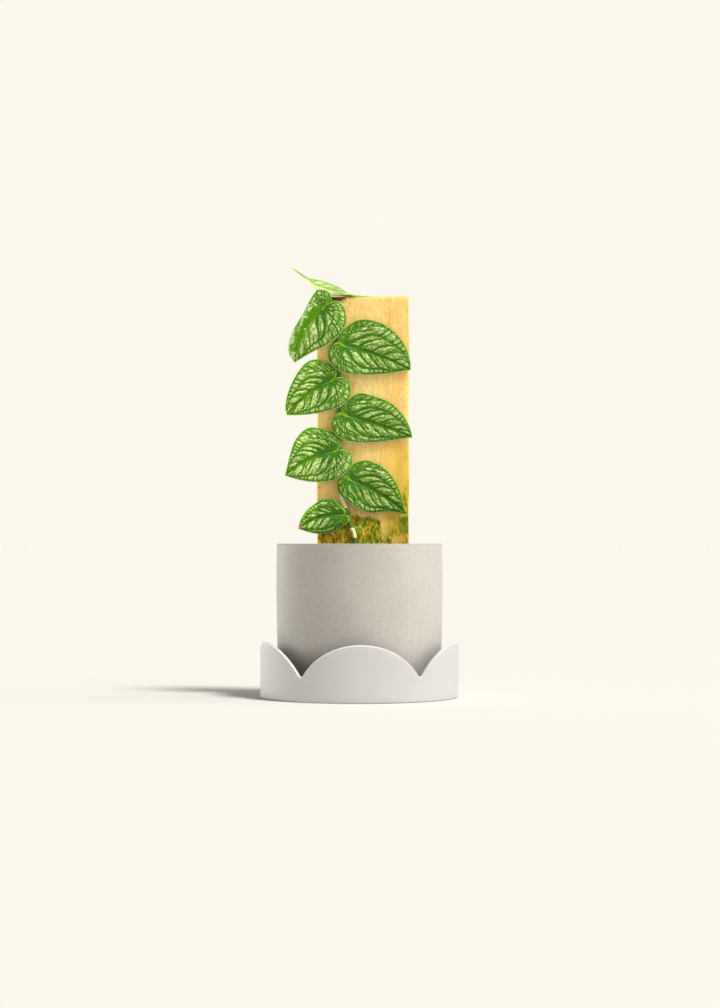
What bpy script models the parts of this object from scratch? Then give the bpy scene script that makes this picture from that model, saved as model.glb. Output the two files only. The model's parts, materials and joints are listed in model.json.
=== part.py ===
"""A potted shingle plant: a vine with flat overlapping leaves on an upright wooden plank.

Metres, +Z up. The origin is on the floor, on the pot's axis. The front faces -Y.
The plank stands in the pot's soil, and the pot stands in a saucer with a scalloped wall.
Leaf sizes are in millimetres, because they are read more easily that way.
"""

import math

import bmesh
import bpy
from mathutils import Vector, noise

MM = 0.001
GAP = 0.3 * MM

# Saucer: a flat floor and a wall whose top is cut in round scallops
SAUCER_RADIUS = 96 * MM
SAUCER_WALL = 3.6 * MM
SAUCER_FLOOR = 6 * MM
SAUCER_FOOT_BEVEL = 1.2 * MM
SCALLOPS = 5
SCALLOP_PEAK = 54.3 * MM
SCALLOP_VALLEY = 23.7 * MM
SCALLOP_NOTCH = 3 * MM
SCALLOP_TURN = math.radians(0.8)
STEPS_PER_SCALLOP = 22

# Pot: a thick round wall, a little fuller at two thirds of its height
POT_HEIGHT = 142 * MM
POT_RADIUS = 80 * MM
POT_SWELL = 0.5 * MM
POT_FOOT_RADIUS = 78.4 * MM
POT_WALL = 5 * MM
POT_FLOOR = 8 * MM
POT_EDGE = 1.2 * MM
DRAIN_RADIUS = 7 * MM
POT_SIDES = 72

# Soil: fills the pot to a finger's width under the rim
SOIL_BELOW_RIM = 13 * MM
SOIL_LUMP = 2.2 * MM

# Plank: a sawn board, about 89 by 19 mm, standing near the middle of the pot
PLANK_WIDTH = 89.4 * MM
PLANK_THICKNESS = 19 * MM
PLANK_OFFSET = 3.6 * MM
PLANK_FRONT = 2 * MM
PLANK_ABOVE_RIM = 239.9 * MM
PLANK_IN_SOIL = 100 * MM
PLANK_WAVE = 0.5 * MM
PLANK_ARRIS = 0.8 * MM
PLANK_ROWS = 22

POT_BOTTOM = SAUCER_FLOOR + GAP
RIM = POT_BOTTOM + POT_HEIGHT
SOIL_TOP = RIM - SOIL_BELOW_RIM
PLANK_TOP = RIM + PLANK_ABOVE_RIM
PLANK_BOTTOM = SOIL_TOP - PLANK_IN_SOIL

# Vine: its route up the plank's front as (x, z) in millimetres
VINE_ROUTE = [
    (-4.6, 92), (-4.6, 118), (-4.7, 149), (-5.0, 157), (-8.4, 165), (-10.0, 171), (-13.2, 182),
    (-16.8, 193), (-17.5, 205), (-16.4, 218), (-17.6, 230), (-19.4, 241), (-21.6, 255),
    (-21.0, 269), (-20.2, 283), (-19.2, 299), (-20.2, 315), (-21.7, 333), (-23.1, 351),
    (-24.1, 366), (-27.2, 381), (-28.4, 386.0),
]
VINE_RADIUS = 1.6
VINE_OFF_PLANK = 2.35
NODE_RADIUS = 1.95
NODE_REACH = 3.5
STUB = [(-10.2, 172.0), (-9.6, 175.6), (-9.2, 179.6)]
STUB_RADIUS = 1.15
ROOT_RADIUS = 0.55
ROOT_LENGTH = 9
ROOT_ABOVE_NODE = 2.5
ROOTS_ABOVE = 200

# Leaves
BLADE = 0.8
PETIOLE_RADIUS = 1.0
NOTCH = (-1.3, 0.0)
# Side veins leave the midrib at a slant: the further out, the nearer the tip
SLANT = 0.5
STATIONS = 9
LOBE_ROWS = 6
RINGS = (0.4, 0.75, 1.0)
# Height of a blade off the plank: low at its free edge, high over the vine,
# and higher still at its lower end, where it lies over the next leaf
EDGE_HEIGHT = 1.9
VINE_HEIGHT = 5.6
VINE_SPREAD = 18
SHINGLE_SLOPE = 0.06
DOME = 1.0

# Each leaf in millimetres. joint and tip are (x, z) on the plank's face. Points of the
# upper and lower edge are (along the leaf from its joint, across it), from notch to tip.
# bow is how far the midrib bends to the upper side, back is how fast the blade falls back
# past the plank's left edge, and node is the height where its stalk leaves the vine.
LEAVES = {
    "leaf_1": dict(
        joint=(-34.7, 376.6), tip=(-63.0, 324.0), bow=8.0, back=0.012, node=379,
        upper=[(-7.5, -1.4), (-12, -1.6), (-15.9, 2.4), (-15.2, 8.6), (-11.6, 14.2), (0, 15.5),
               (13, 15.3), (30, 16.3), (44, 14.8), (54, 9.5)],
        lower=[(-8, -3.2), (-12, -8), (-10, -17), (-3, -23.5), (6, -26.6), (17, -25.7),
               (29, -21), (39, -13.5), (50, -6)]),
    "leaf_2": dict(
        joint=(-15.9, 339.8), tip=(49.6, 316.3), bow=3.2, back=0.0, node=348,
        upper=[(-6, 4.2), (-7.5, 9), (-4, 16.5), (3, 26.6), (11.5, 31.6), (21.9, 33.4),
               (31, 33.1), (43, 29.5), (54, 23), (62.5, 14.2), (67.5, 6)],
        lower=[(-6.5, 1.4), (-11, -4), (-11.3, -11.5), (-7, -18.8), (3, -24), (14.7, -23.9),
               (30, -19.2), (50, -10.5), (60, -4.8)]),
    "leaf_3": dict(
        joint=(-25.8, 306.6), tip=(-70.5, 272.8), bow=4.2, back=0.003, node=314,
        upper=[(-6.5, 1.8), (-9, 6), (-6.7, 14.3), (-1, 24.3), (5, 28.5), (13, 29.2),
               (24, 26.3), (36.4, 20.4), (46, 13.7), (52.5, 7)],
        lower=[(-6.5, -1.2), (-11, -5.5), (-10.2, -14.7), (-3.5, -23), (6, -25.2), (16, -23.4),
               (31, -16.8), (44, -9)]),
    "leaf_4": dict(
        joint=(-13.0, 271.8), tip=(51.4, 251.1), bow=1.8, back=0.0, node=280,
        upper=[(-6, 4.2), (-7, 9), (-2.6, 16), (4, 24), (12, 26.6), (28, 26.8), (40, 24.8),
               (52, 18.3), (60, 11.3), (65.5, 4)],
        lower=[(-6.5, 1.6), (-11, -4.5), (-10.6, -13), (-4, -20.2), (6, -22.6), (20, -20.8),
               (36, -15), (50, -8.6), (60, -3.5)]),
    "leaf_5": dict(
        joint=(-23.4, 237.5), tip=(-72.4, 214.2), bow=4.5, back=0.003, node=242.5,
        upper=[(-5.5, 1.6), (-9.7, 5.5), (-9.6, 11), (-4.5, 19), (4.5, 27.3), (12, 31.8),
               (20, 31.6), (31, 26.4), (41.3, 16), (49, 6.5)],
        lower=[(-6.5, -0.8), (-12.3, -5.5), (-12, -14), (-5, -21.3), (8, -25), (18, -23.6),
               (33, -17), (45, -8.5)]),
    "leaf_6": dict(
        joint=(-10.1, 210.3), tip=(46.8, 175.9), bow=3.9, back=0.0, node=217,
        upper=[(-5.2, 3.8), (-6.2, 8), (-3, 17), (4, 24.2), (12, 26.8), (20.5, 27.6),
               (31, 25.6), (43, 19.7), (54, 11), (61, 3.8)],
        lower=[(-5.6, 1.2), (-9, -4), (-5.5, -12.5), (2, -17.7), (13, -19), (26, -19.3),
               (36, -16.3), (46, -8.5), (56, -3.2)]),
    "leaf_7": dict(
        joint=(-15.4, 175.8), tip=(-59.3, 162.6), bow=5.0, back=0.003, node=175.6,
        upper=[(-2.8, 1.6), (-3.2, 4.1), (0.2, 9.6), (4.5, 16.6), (9.9, 19.6), (15.4, 20.7),
               (21.1, 19.6), (29.4, 16.6), (36.5, 12.3), (42.6, 6)],
        lower=[(-3.2, -1.2), (-5.3, -4), (-4, -7), (1, -9.2), (7, -11.3), (14.5, -12.4),
               (24, -11.5), (34, -7.8)]),
}

# The youngest leaf, half unfolded, lies over the plank's top with its tip in the air
YOUNG_JOINT = (-7.2, 14.4)
YOUNG_AIM = (-0.995, -0.05)
YOUNG_TIP = 60.0
YOUNG_NEAR = [(-5, 1.0), (-16, 4), (-16, 9), (-6, 12.4), (8, 13.4), (22, 13.4), (33, 13.2),
              (38.5, 11), (41.2, 6), (43, 2.0), (51, 1.0)]
YOUNG_FAR = [(-5, -1.0), (-14, -5), (-14, -12), (-4, -16.5), (8, -18), (20, -17.5),
             (31, -14), (38, -8.5), (42.6, -2.4), (51, -1.0)]
# How the midrib climbs off the plank's top, as (along, above the plank)
YOUNG_SPINE = [(-17, 0.8), (-8, 0.9), (0, 2.4), (13, 10.3), (26, 15.6), (37, 18.2), (43, 19.2),
               (51, 24.0), (60, 29.8)]
YOUNG_FOLD = 0.86
YOUNG_FOLD_FROM = -2
YOUNG_FOLD_TO = 20
YOUNG_PETIOLE = [(-28.2, 0.5, 1.0), (-23, 5.2, 2.0), (-14, 11.4, 2.0), (-6, 14.4, 1.8)]
YOUNG_STALK_RADIUS = 0.95

# A tiny scale leaf on a short stalk beside the lowest node
BUD_JOINT = (-1.5, 163.3)
BUD_TIP = (2.9, 163.0)
BUD_UPPER = [(-0.4, 1.1), (1.4, 2.7), (3.2, 1.6)]
BUD_LOWER = [(-0.4, -1.1), (1.6, -2.8), (3.2, -1.5)]
BUD_HEIGHT = 3.4
BUD_STALK_RADIUS = 0.6

# Colours from the real materials, as linear RGB
MATERIALS = {
    "saucer": ((0.78, 0.75, 0.72), 0.45),
    "pot": ((0.56, 0.52, 0.44), 0.62),
    "soil": ((0.035, 0.022, 0.014), 0.95),
    "plank": ((0.80, 0.50, 0.19), 0.75),
    "vine": ((0.16, 0.30, 0.06), 0.5),
    "leaf": ((0.12, 0.30, 0.06), 0.42),
    "young_leaf": ((0.50, 0.68, 0.22), 0.42),
}


def clear_scene():
    for old in list(bpy.data.objects):
        bpy.data.objects.remove(old, do_unlink=True)


def finish_of(name):
    """The material of that name, made once."""
    found = bpy.data.materials.get(name)
    if found:
        return found
    colour, roughness = MATERIALS[name]
    material = bpy.data.materials.new(name)
    material.use_nodes = True
    shader = material.node_tree.nodes["Principled BSDF"]
    shader.inputs["Base Color"].default_value = (*colour, 1.0)
    shader.inputs["Roughness"].default_value = roughness
    shader.inputs["Metallic"].default_value = 0.0
    return material


def add_object(name, bm, finish, smooth=40):
    """Turn a bmesh into a shaded object with its faces pointing out."""
    bmesh.ops.recalc_face_normals(bm, faces=bm.faces)
    mesh = bpy.data.meshes.new(name)
    bm.to_mesh(mesh)
    bm.free()
    mesh.materials.append(finish_of(finish))
    mesh.shade_smooth()
    mesh.set_sharp_from_angle(angle=math.radians(smooth))
    made = bpy.data.objects.new(name, mesh)
    bpy.context.scene.collection.objects.link(made)
    return made


def combine(target, others, operation, solver="EXACT"):
    """Apply one Boolean of other objects to the target, and remove them.

    Thin waved blades need the MANIFOLD solver, because EXACT loses parts of them.
    """
    for other in others:
        step = target.modifiers.new("combine", "BOOLEAN")
        step.operation = operation
        step.solver = solver
        step.object = other
    depsgraph = bpy.context.evaluated_depsgraph_get()
    mesh = bpy.data.meshes.new_from_object(target.evaluated_get(depsgraph))
    old = target.data
    target.modifiers.clear()
    target.data = mesh
    mesh.name = target.name
    bpy.data.meshes.remove(old)
    for other in others:
        bpy.data.objects.remove(other, do_unlink=True)


def curve_through(points, steps):
    """Points along a smooth curve through the given points, with steps to each stretch."""
    vectors = [Vector(point) for point in points]
    first = vectors[0] * 2 - vectors[1]
    last = vectors[-1] * 2 - vectors[-2]
    ends = [first, *vectors, last]
    found = []
    for i in range(1, len(ends) - 2):
        before, here, there, after = ends[i - 1:i + 3]
        for step in range(steps):
            t = step / steps
            bend = (before * 2 - here * 5 + there * 4 - after) * t * t
            twist = (here * 3 - before - there * 3 + after) * t ** 3
            found.append((here * 2 + (there - before) * t + bend + twist) / 2)
    found.append(vectors[-1])
    return found


def turned(name, profile, sides, finish):
    """Spin a closed loop of (radius, height) about the Z axis."""
    bm = bmesh.new()
    rings = []
    for i in range(sides):
        angle = 2 * math.pi * i / sides
        turn = Vector((math.cos(angle), math.sin(angle)))
        rings.append([bm.verts.new((turn.x * r, turn.y * r, z)) for r, z in profile])
    for i in range(sides):
        here, there = rings[i], rings[(i + 1) % sides]
        for j in range(len(profile)):
            k = (j + 1) % len(profile)
            bm.faces.new((here[j], there[j], there[k], here[k]))
    return add_object(name, bm, finish)


def tube(name, points, radii, sides, finish):
    """A round tube through the points, one radius each, with pointed ends."""
    bm = bmesh.new()
    rings = []
    normal = None
    for i, point in enumerate(points):
        ahead = points[min(i + 1, len(points) - 1)] - points[max(i - 1, 0)]
        ahead.normalize()
        if normal is None:
            normal = ahead.orthogonal()
        normal = (normal - ahead * normal.dot(ahead)).normalized()
        side = ahead.cross(normal)
        ring = []
        for s in range(sides):
            angle = 2 * math.pi * s / sides
            offset = normal * math.cos(angle) + side * math.sin(angle)
            ring.append(bm.verts.new(point + offset * radii[i]))
        rings.append(ring)
    for here, there in zip(rings, rings[1:]):
        for s in range(sides):
            t = (s + 1) % sides
            bm.faces.new((here[s], here[t], there[t], there[s]))
    for ring, end, near in ((rings[0], 0, 1), (rings[-1], -1, -2)):
        out = (points[end] - points[near]).normalized()
        point = bm.verts.new(points[end] + out * radii[end] * 0.5)
        for s in range(sides):
            bm.faces.new((ring[s], ring[(s + 1) % sides], point))
    return add_object(name, bm, finish, smooth=80)


def scallop_height(t):
    """Height of the saucer's wall, for t from -1 to 1 across one scallop.

    Each scallop is an arc of a circle on the unrolled wall, and a small round notch
    joins it to the next.
    """
    half = SAUCER_RADIUS * math.pi / SCALLOPS
    drop = SCALLOP_PEAK - SCALLOP_VALLEY + 0.7 * SCALLOP_NOTCH
    radius = (half * half + drop * drop) / (2 * drop)

    def arc(s):
        return SCALLOP_PEAK - radius + math.sqrt(radius * radius - s * s)

    from_valley = half * (1 - abs(t))
    if from_valley >= SCALLOP_NOTCH:
        return arc(half - from_valley)
    edge = half - SCALLOP_NOTCH
    slope = edge / math.sqrt(radius * radius - edge * edge)
    rise = from_valley * from_valley / (2 * SCALLOP_NOTCH) - SCALLOP_NOTCH / 2
    return arc(edge) + slope * rise


def saucer():
    """The wall's section changes height round the rim, so each section is a ring of its own."""
    bm = bmesh.new()
    outer = SAUCER_RADIUS
    inner = SAUCER_RADIUS - SAUCER_WALL
    soft = SAUCER_WALL * 0.3
    sections = []
    for scallop in range(SCALLOPS):
        for step in range(STEPS_PER_SCALLOP):
            u = 2 * step / STEPS_PER_SCALLOP - 1
            t = 0.5 * (u + math.sin(u * math.pi / 2))
            angle = SCALLOP_TURN - math.pi / 2 + (2 * scallop + t) * math.pi / SCALLOPS
            top = scallop_height(t)
            section = [
                (outer - SAUCER_FOOT_BEVEL, 0), (outer, SAUCER_FOOT_BEVEL), (outer, top - soft),
                (outer - soft, top), (inner + soft, top), (inner, top - soft),
                (inner, SAUCER_FLOOR + 2 * soft), (inner - 2 * soft, SAUCER_FLOOR),
            ]
            turn = Vector((math.cos(angle), math.sin(angle)))
            sections.append([bm.verts.new((turn.x * r, turn.y * r, z)) for r, z in section])
    under = bm.verts.new((0, 0, 0))
    floor = bm.verts.new((0, 0, SAUCER_FLOOR))
    for i, here in enumerate(sections):
        there = sections[(i + 1) % len(sections)]
        for j in range(len(here) - 1):
            bm.faces.new((here[j], there[j], there[j + 1], here[j + 1]))
        bm.faces.new((here[0], there[0], under))
        bm.faces.new((here[-1], there[-1], floor))
    return add_object("saucer", bm, "saucer")


def pot():
    """A straight round planter with a drain hole and a shallow recess under its floor."""
    foot_ring = 9 * MM
    recess = 1.5 * MM
    corner = 4 * MM
    inner = POT_RADIUS - POT_WALL
    profile = [
        (DRAIN_RADIUS, recess), (POT_FOOT_RADIUS - foot_ring, recess),
        (POT_FOOT_RADIUS - foot_ring + recess, 0), (POT_FOOT_RADIUS - corner, 0),
        (POT_FOOT_RADIUS - corner * 0.3, corner * 0.3), (POT_FOOT_RADIUS, corner),
        (POT_RADIUS - 0.4 * POT_SWELL, POT_HEIGHT * 0.35),
        (POT_RADIUS + POT_SWELL, POT_HEIGHT * 0.75),
        (POT_RADIUS, POT_HEIGHT - POT_EDGE), (POT_RADIUS - POT_EDGE * 0.3, POT_HEIGHT - POT_EDGE * 0.3),
        (POT_RADIUS - POT_EDGE, POT_HEIGHT), (inner + POT_EDGE, POT_HEIGHT),
        (inner, POT_HEIGHT - POT_EDGE), (inner - 0.5 * MM, POT_FLOOR + corner),
        (inner - corner, POT_FLOOR), (DRAIN_RADIUS, POT_FLOOR),
    ]
    raised = [(radius, POT_BOTTOM + height) for radius, height in profile]
    return turned("pot", raised, POT_SIDES, "pot")


def block(name, low, high, finish):
    """A closed box between two corners."""
    bm = bmesh.new()
    bmesh.ops.create_cube(bm, size=1)
    low, high = Vector(low), Vector(high)
    for vert in bm.verts:
        vert.co = (low + high) / 2 + vert.co * (high - low)
    return add_object(name, bm, finish)


def soil():
    """A lumpy disc that fills the pot, with plain holes for the plank and the vine."""
    sides, rings = 60, 9
    clear = POT_WALL + 0.5 * MM + GAP
    radius = POT_RADIUS - clear
    bottom = POT_BOTTOM + POT_FLOOR + GAP
    corner = 4.5 * MM
    bm = bmesh.new()
    centre = bm.verts.new((0, 0, SOIL_TOP + SOIL_LUMP * 0.4))
    top = []
    for ring in range(1, rings + 1):
        reach = radius * (ring / rings) ** 0.8
        row = []
        for s in range(sides):
            angle = 2 * math.pi * (s + 0.5 * (ring % 2)) / sides
            x, y = reach * math.cos(angle), reach * math.sin(angle)
            lump = noise.fractal(Vector((x, y, 0)) * 75, 0.8, 2.2, 3)
            row.append(bm.verts.new((x, y, SOIL_TOP + SOIL_LUMP * lump)))
        top.append(row)
    walls = []
    for reach, z in ((radius, bottom + corner), (radius - corner, bottom)):
        angles = [2 * math.pi * (s + 0.5 * (rings % 2)) / sides for s in range(sides)]
        walls.append([bm.verts.new((reach * math.cos(a), reach * math.sin(a), z)) for a in angles])
    under = bm.verts.new((0, 0, bottom))
    rows = top + walls
    for s in range(sides):
        t = (s + 1) % sides
        bm.faces.new((centre, rows[0][s], rows[0][t]))
        bm.faces.new((under, rows[-1][s], rows[-1][t]))
    for i, (here, there) in enumerate(zip(rows, rows[1:])):
        shift = i % 2 if i < rings - 1 else None
        for s in range(sides):
            t = (s + 1) % sides
            if shift is None:
                bm.faces.new((here[s], here[t], there[t], there[s]))
            elif shift == 0:
                bm.faces.new((here[s], here[t], there[s]))
                bm.faces.new((here[t], there[t], there[s]))
            else:
                bm.faces.new((here[s], here[t], there[t]))
                bm.faces.new((here[s], there[t], there[s]))
    made = add_object("soil", bm, "soil")
    spare = PLANK_WAVE + GAP
    half = PLANK_WIDTH / 2 + spare
    plank_hole = block(
        "plank_hole", (PLANK_OFFSET - half, PLANK_FRONT - spare, PLANK_BOTTOM - GAP),
        (PLANK_OFFSET + half, PLANK_FRONT + PLANK_THICKNESS + spare, RIM), "soil")
    x, z = VINE_ROUTE[0]
    y = PLANK_FRONT / MM - VINE_OFF_PLANK
    wide = VINE_RADIUS + 2.1 * GAP / MM
    ends = [Vector((x, y, z - 2.5)) * MM, Vector((x, y, RIM / MM)) * MM]
    vine_hole = tube("vine_hole", ends, [wide * MM] * 2, 14, "soil")
    combine(made, [plank_hole, vine_hole], "DIFFERENCE")
    return made


def plank_edge(z, seed):
    """How far a sawn edge wanders at a height, in metres, and not at all under the soil."""
    steady = min(max((z - SOIL_TOP) / (20 * MM), 0), 1)
    drift = math.sin(z * 52 + seed) + 0.6 * math.sin(z * 131 + 2.3 * seed)
    return PLANK_WAVE * 0.6 * drift * steady


def plank():
    """A board with eased arrises, whose long edges wander a little."""
    bm = bmesh.new()
    back = PLANK_FRONT + PLANK_THICKNESS
    front = PLANK_FRONT
    ease = PLANK_ARRIS
    rows = []
    for i in range(PLANK_ROWS + 1):
        z = PLANK_BOTTOM + (PLANK_TOP - PLANK_BOTTOM) * i / PLANK_ROWS
        left = PLANK_OFFSET - PLANK_WIDTH / 2 + plank_edge(z, 0.4)
        right = PLANK_OFFSET + PLANK_WIDTH / 2 + plank_edge(z, 2.9)
        outline = [
            (left + ease, front), (right - ease, front), (right, front + ease),
            (right, back - ease), (right - ease, back), (left + ease, back),
            (left, back - ease), (left, front + ease),
        ]
        rows.append([bm.verts.new((x, y, z)) for x, y in outline])
    for here, there in zip(rows, rows[1:]):
        for j in range(8):
            k = (j + 1) % 8
            bm.faces.new((here[j], here[k], there[k], there[j]))
    bm.faces.new(rows[0])
    bm.faces.new(rows[-1])
    return add_object("plank", bm, "plank")


def on_plank(x, z, height):
    """A point in metres, from millimetres across, up and off the plank's front."""
    return Vector((x, PLANK_FRONT / MM - height, z)) * MM


def vine_x(z):
    """The vine's place across the plank at a height, in millimetres."""
    for (x0, z0), (x1, z1) in zip(VINE_ROUTE, VINE_ROUTE[1:]):
        if z0 <= z <= z1:
            return x0 + (x1 - x0) * (z - z0) / (z1 - z0)
    return VINE_ROUTE[0][0] if z < VINE_ROUTE[0][1] else VINE_ROUTE[-1][0]


def vine():
    """The climbing stem, thicker at its nodes, with an old stub and roots that grip the wood."""
    route = curve_through([(x, z) for x, z in VINE_ROUTE], 4)
    nodes = [leaf["node"] for leaf in LEAVES.values()] + [BUD_JOINT[1]]
    radii = []
    for point in route:
        nearest = min(abs(point.y - z) for z in nodes)
        swell = max(0, 1 - (nearest / NODE_REACH) ** 2)
        radii.append((VINE_RADIUS + (NODE_RADIUS - VINE_RADIUS) * swell) * MM)
    middle = [on_plank(point.x, point.y, VINE_OFF_PLANK) for point in route]
    made = tube("vine", middle, radii, 8, "vine")
    extras = []
    stub = [on_plank(x, z, VINE_OFF_PLANK + 0.5) for x, z in STUB]
    extras.append(tube("stub", stub, [STUB_RADIUS * MM] * 3, 7, "vine"))
    for i, spec in enumerate(LEAVES.values()):
        z = spec["node"] + ROOT_ABOVE_NODE
        if z < ROOTS_ABOVE:
            continue
        side = math.copysign(1, spec["joint"][0] - vine_x(z))
        for turn in (0.6, 1.2):
            points = []
            for step in range(4):
                along = ROOT_LENGTH * step / 3
                bend = turn + 0.2 * math.sin(step * 1.3 + i)
                height = max(VINE_OFF_PLANK - 0.6 * step, GAP / MM + ROOT_RADIUS + 0.1)
                x = vine_x(z) + side * along * math.cos(bend)
                points.append(on_plank(x, z + along * math.sin(bend), height))
            radii = [ROOT_RADIUS * MM * (1 - 0.12 * step) for step in range(4)]
            extras.append(tube("root", points, radii, 5, "vine"))
    combine(made, extras, "UNION")
    return made


def edge_rows(points, tip, bow_at, stations, lobe_rows):
    """Where rows of one half of a blade start on the midrib and end at its edge."""
    edge = curve_through([NOTCH, *points, (tip, 0)], 12)
    feet = [p.x - SLANT * abs(p.y - bow_at(max(p.x, 0))) for p in edge]
    split = max(i for i, foot in enumerate(feet) if foot <= 0)
    spans = [(b - a).length for a, b in zip(edge[:split], edge[1:split + 1])]
    total = sum(spans)
    rows = []
    for row in range(lobe_rows + 1):
        wanted, i = total * row / lobe_rows, 0
        while i < split - 1 and wanted > spans[i]:
            wanted -= spans[i]
            i += 1
        rows.append((0.0, edge[i].lerp(edge[i + 1], min(wanted / spans[i], 1))))
    for station in range(1, stations):
        foot = tip * station / stations
        i = max(j for j in range(split, len(edge)) if feet[j] <= foot)
        j = min(i + 1, len(edge) - 1)
        share = (foot - feet[i]) / max(feet[j] - feet[i], 1e-6)
        rows.append((foot, edge[i].lerp(edge[j], min(share, 1))))
    return rows


def blade(name, upper, lower, tip, bow, place, out, finish, stations=STATIONS, lobe_rows=LOBE_ROWS):
    """A thin closed blade. place(along, across, share) gives the middle of its thickness.

    share runs from 0 on the midrib to 1 at the edge. out is the way the blade's upper
    side faces. Both sides are split into the same triangles.
    """
    def bow_at(along):
        return bow * 4 * along * (tip - along) / (tip * tip)

    bm = bmesh.new()
    half = Vector(out) * BLADE * MM / 2
    layers = []

    def add(along, across, share):
        point = place(along, across, share)
        layers.append((bm.verts.new(point + half), bm.verts.new(point - half)))
        return len(layers) - 1

    midrib = [add(tip * s / stations, bow_at(tip * s / stations), 0) for s in range(stations)]
    point = add(tip, 0, 1)
    notch_row = None
    triangles, border = [], []
    for points, sign in ((upper, 1), (lower, -1)):
        rows = []
        spans = edge_rows(points, tip, bow_at, stations, lobe_rows)
        for i, (foot, end) in enumerate(spans):
            if i == 0 and notch_row:
                rows.append(notch_row)
                continue
            start = Vector((foot, bow_at(foot)))
            start_index = midrib[round(foot * stations / tip)]
            row = [start_index]
            for share in RINGS:
                spot = start.lerp(end, share)
                row.append(add(spot.x, spot.y, share))
            rows.append(row)
            notch_row = notch_row or row
        rows.append([point] * (len(RINGS) + 1))
        for here, there in zip(rows, rows[1:]):
            for j in range(len(RINGS)):
                for corners in ((here[j], there[j], there[j + 1]), (here[j], there[j + 1], here[j + 1])):
                    if len(set(corners)) == 3:
                        triangles.append(corners if sign > 0 else corners[::-1])
        border.append([row[-1] for row in rows])
    for a, b, c in triangles:
        bm.faces.new((layers[a][0], layers[b][0], layers[c][0]))
        bm.faces.new((layers[c][1], layers[b][1], layers[a][1]))
    loop = border[0] + border[1][-2:0:-1]
    for a, b in zip(loop, loop[1:] + loop[:1]):
        bm.faces.new((layers[a][0], layers[b][0], layers[b][1]))
        bm.faces.new((layers[a][0], layers[b][1], layers[a][1]))
    return add_object(name, bm, finish, smooth=50)


def blade_height(x, z, share, joint_z, back):
    """How far a blade's middle stands off the plank's front, in millimetres."""
    near = math.exp(-((x - vine_x(z)) / VINE_SPREAD) ** 2)
    over_vine = VINE_HEIGHT - EDGE_HEIGHT + SHINGLE_SLOPE * (joint_z - z)
    past = max(PLANK_OFFSET / MM - PLANK_WIDTH / MM / 2 - x, 0)
    dome = DOME * 4 * share * (1 - share)
    return EDGE_HEIGHT + near * over_vine + dome - back * past * past


def leaf(name):
    """One shingle leaf: a heart-shaped blade fused to the short stalk that carries it."""
    spec = LEAVES[name]
    joint, tip = Vector(spec["joint"]), Vector(spec["tip"])
    ahead = (tip - joint).normalized()
    across = Vector((-ahead.y, ahead.x))
    if across.y < 0:
        across.negate()

    def place(along, aside, share):
        spot = joint + ahead * along + across * aside
        height = blade_height(spot.x, spot.y, share, joint.y, spec["back"])
        return on_plank(spot.x, spot.y, height)

    length = (tip - joint).length
    made = blade(name, spec["upper"], spec["lower"], length, spec["bow"], place, (0, -1, 0), "leaf")
    node = Vector((vine_x(spec["node"]), spec["node"]))
    beside = 1.1 * (NODE_RADIUS + PETIOLE_RADIUS + GAP / MM)
    start = node + Vector((math.copysign(beside, joint.x - node.x), -1))
    top = blade_height(joint.x, joint.y, 0, joint.y, spec["back"])
    sunk = joint + ahead * 3
    stops = [(start, VINE_OFF_PLANK + 0.6), (start.lerp(joint, 0.5), 0.5 * (VINE_OFF_PLANK + top)),
             (joint, top), (sunk, top + 0.1)]
    path = curve_through([on_plank(p.x, p.y, height) for p, height in stops], 2)
    radii = [PETIOLE_RADIUS * MM * (1 - 0.05 * i) for i in range(len(path))]
    stalk = tube("stalk", path, radii, 7, "leaf")
    combine(made, [stalk], "UNION", "MANIFOLD")
    return made


def young_leaf():
    """The newest blade, folded along its midrib and drawn out into a thin tip."""
    top = PLANK_TOP / MM
    joint = Vector((*YOUNG_JOINT, top))
    ahead = Vector((*YOUNG_AIM, 0)).normalized()
    across = Vector((-ahead.y, ahead.x, 0))
    spine = curve_through(YOUNG_SPINE, 12)

    def place(along, aside, share):
        i = min(max(j for j, p in enumerate(spine) if p.x <= max(along, spine[0].x)), len(spine) - 2)
        part = (along - spine[i].x) / (spine[i + 1].x - spine[i].x)
        climb = spine[i].y + (spine[i + 1].y - spine[i].y) * max(part, 0)
        open_part = min(max((along - YOUNG_FOLD_FROM) / (YOUNG_FOLD_TO - YOUNG_FOLD_FROM), 0), 1)
        fold = YOUNG_FOLD * open_part * open_part * (3 - 2 * open_part)
        droop = Vector((0, 0, climb - fold * abs(aside)))
        return (joint + ahead * along + across * aside + droop) * MM

    made = blade("young_leaf", YOUNG_NEAR, YOUNG_FAR, YOUNG_TIP, 0, place, (0, 0, 1), "young_leaf")
    path = curve_through([Vector((x, y, top + z)) * MM for x, y, z in YOUNG_PETIOLE], 3)
    stalk = tube("young_stalk", path, [YOUNG_STALK_RADIUS * MM] * len(path), 7, "young_leaf")
    combine(made, [stalk], "UNION", "MANIFOLD")
    return made


def bud_leaf():
    """A scale leaf a few millimetres long, on its own stalk."""
    joint, tip = Vector(BUD_JOINT), Vector(BUD_TIP)
    ahead = (tip - joint).normalized()
    across = Vector((-ahead.y, ahead.x))
    length = (tip - joint).length

    def place(along, aside, share):
        spot = joint + ahead * along + across * aside
        return on_plank(spot.x, spot.y, BUD_HEIGHT + 0.4 * (1 - share))

    made = blade("bud_leaf", BUD_UPPER, BUD_LOWER, length, 0, place, (0, -1, 0), "leaf", 4, 2)
    start = vine_x(joint.y) + NODE_RADIUS + GAP / MM + BUD_STALK_RADIUS
    path = [on_plank(start, joint.y, VINE_OFF_PLANK + 0.4), on_plank(joint.x + 1.5, joint.y, BUD_HEIGHT)]
    stalk = tube("bud_stalk", path, [BUD_STALK_RADIUS * MM] * 2, 6, "leaf")
    combine(made, [stalk], "UNION")
    return made


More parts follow.
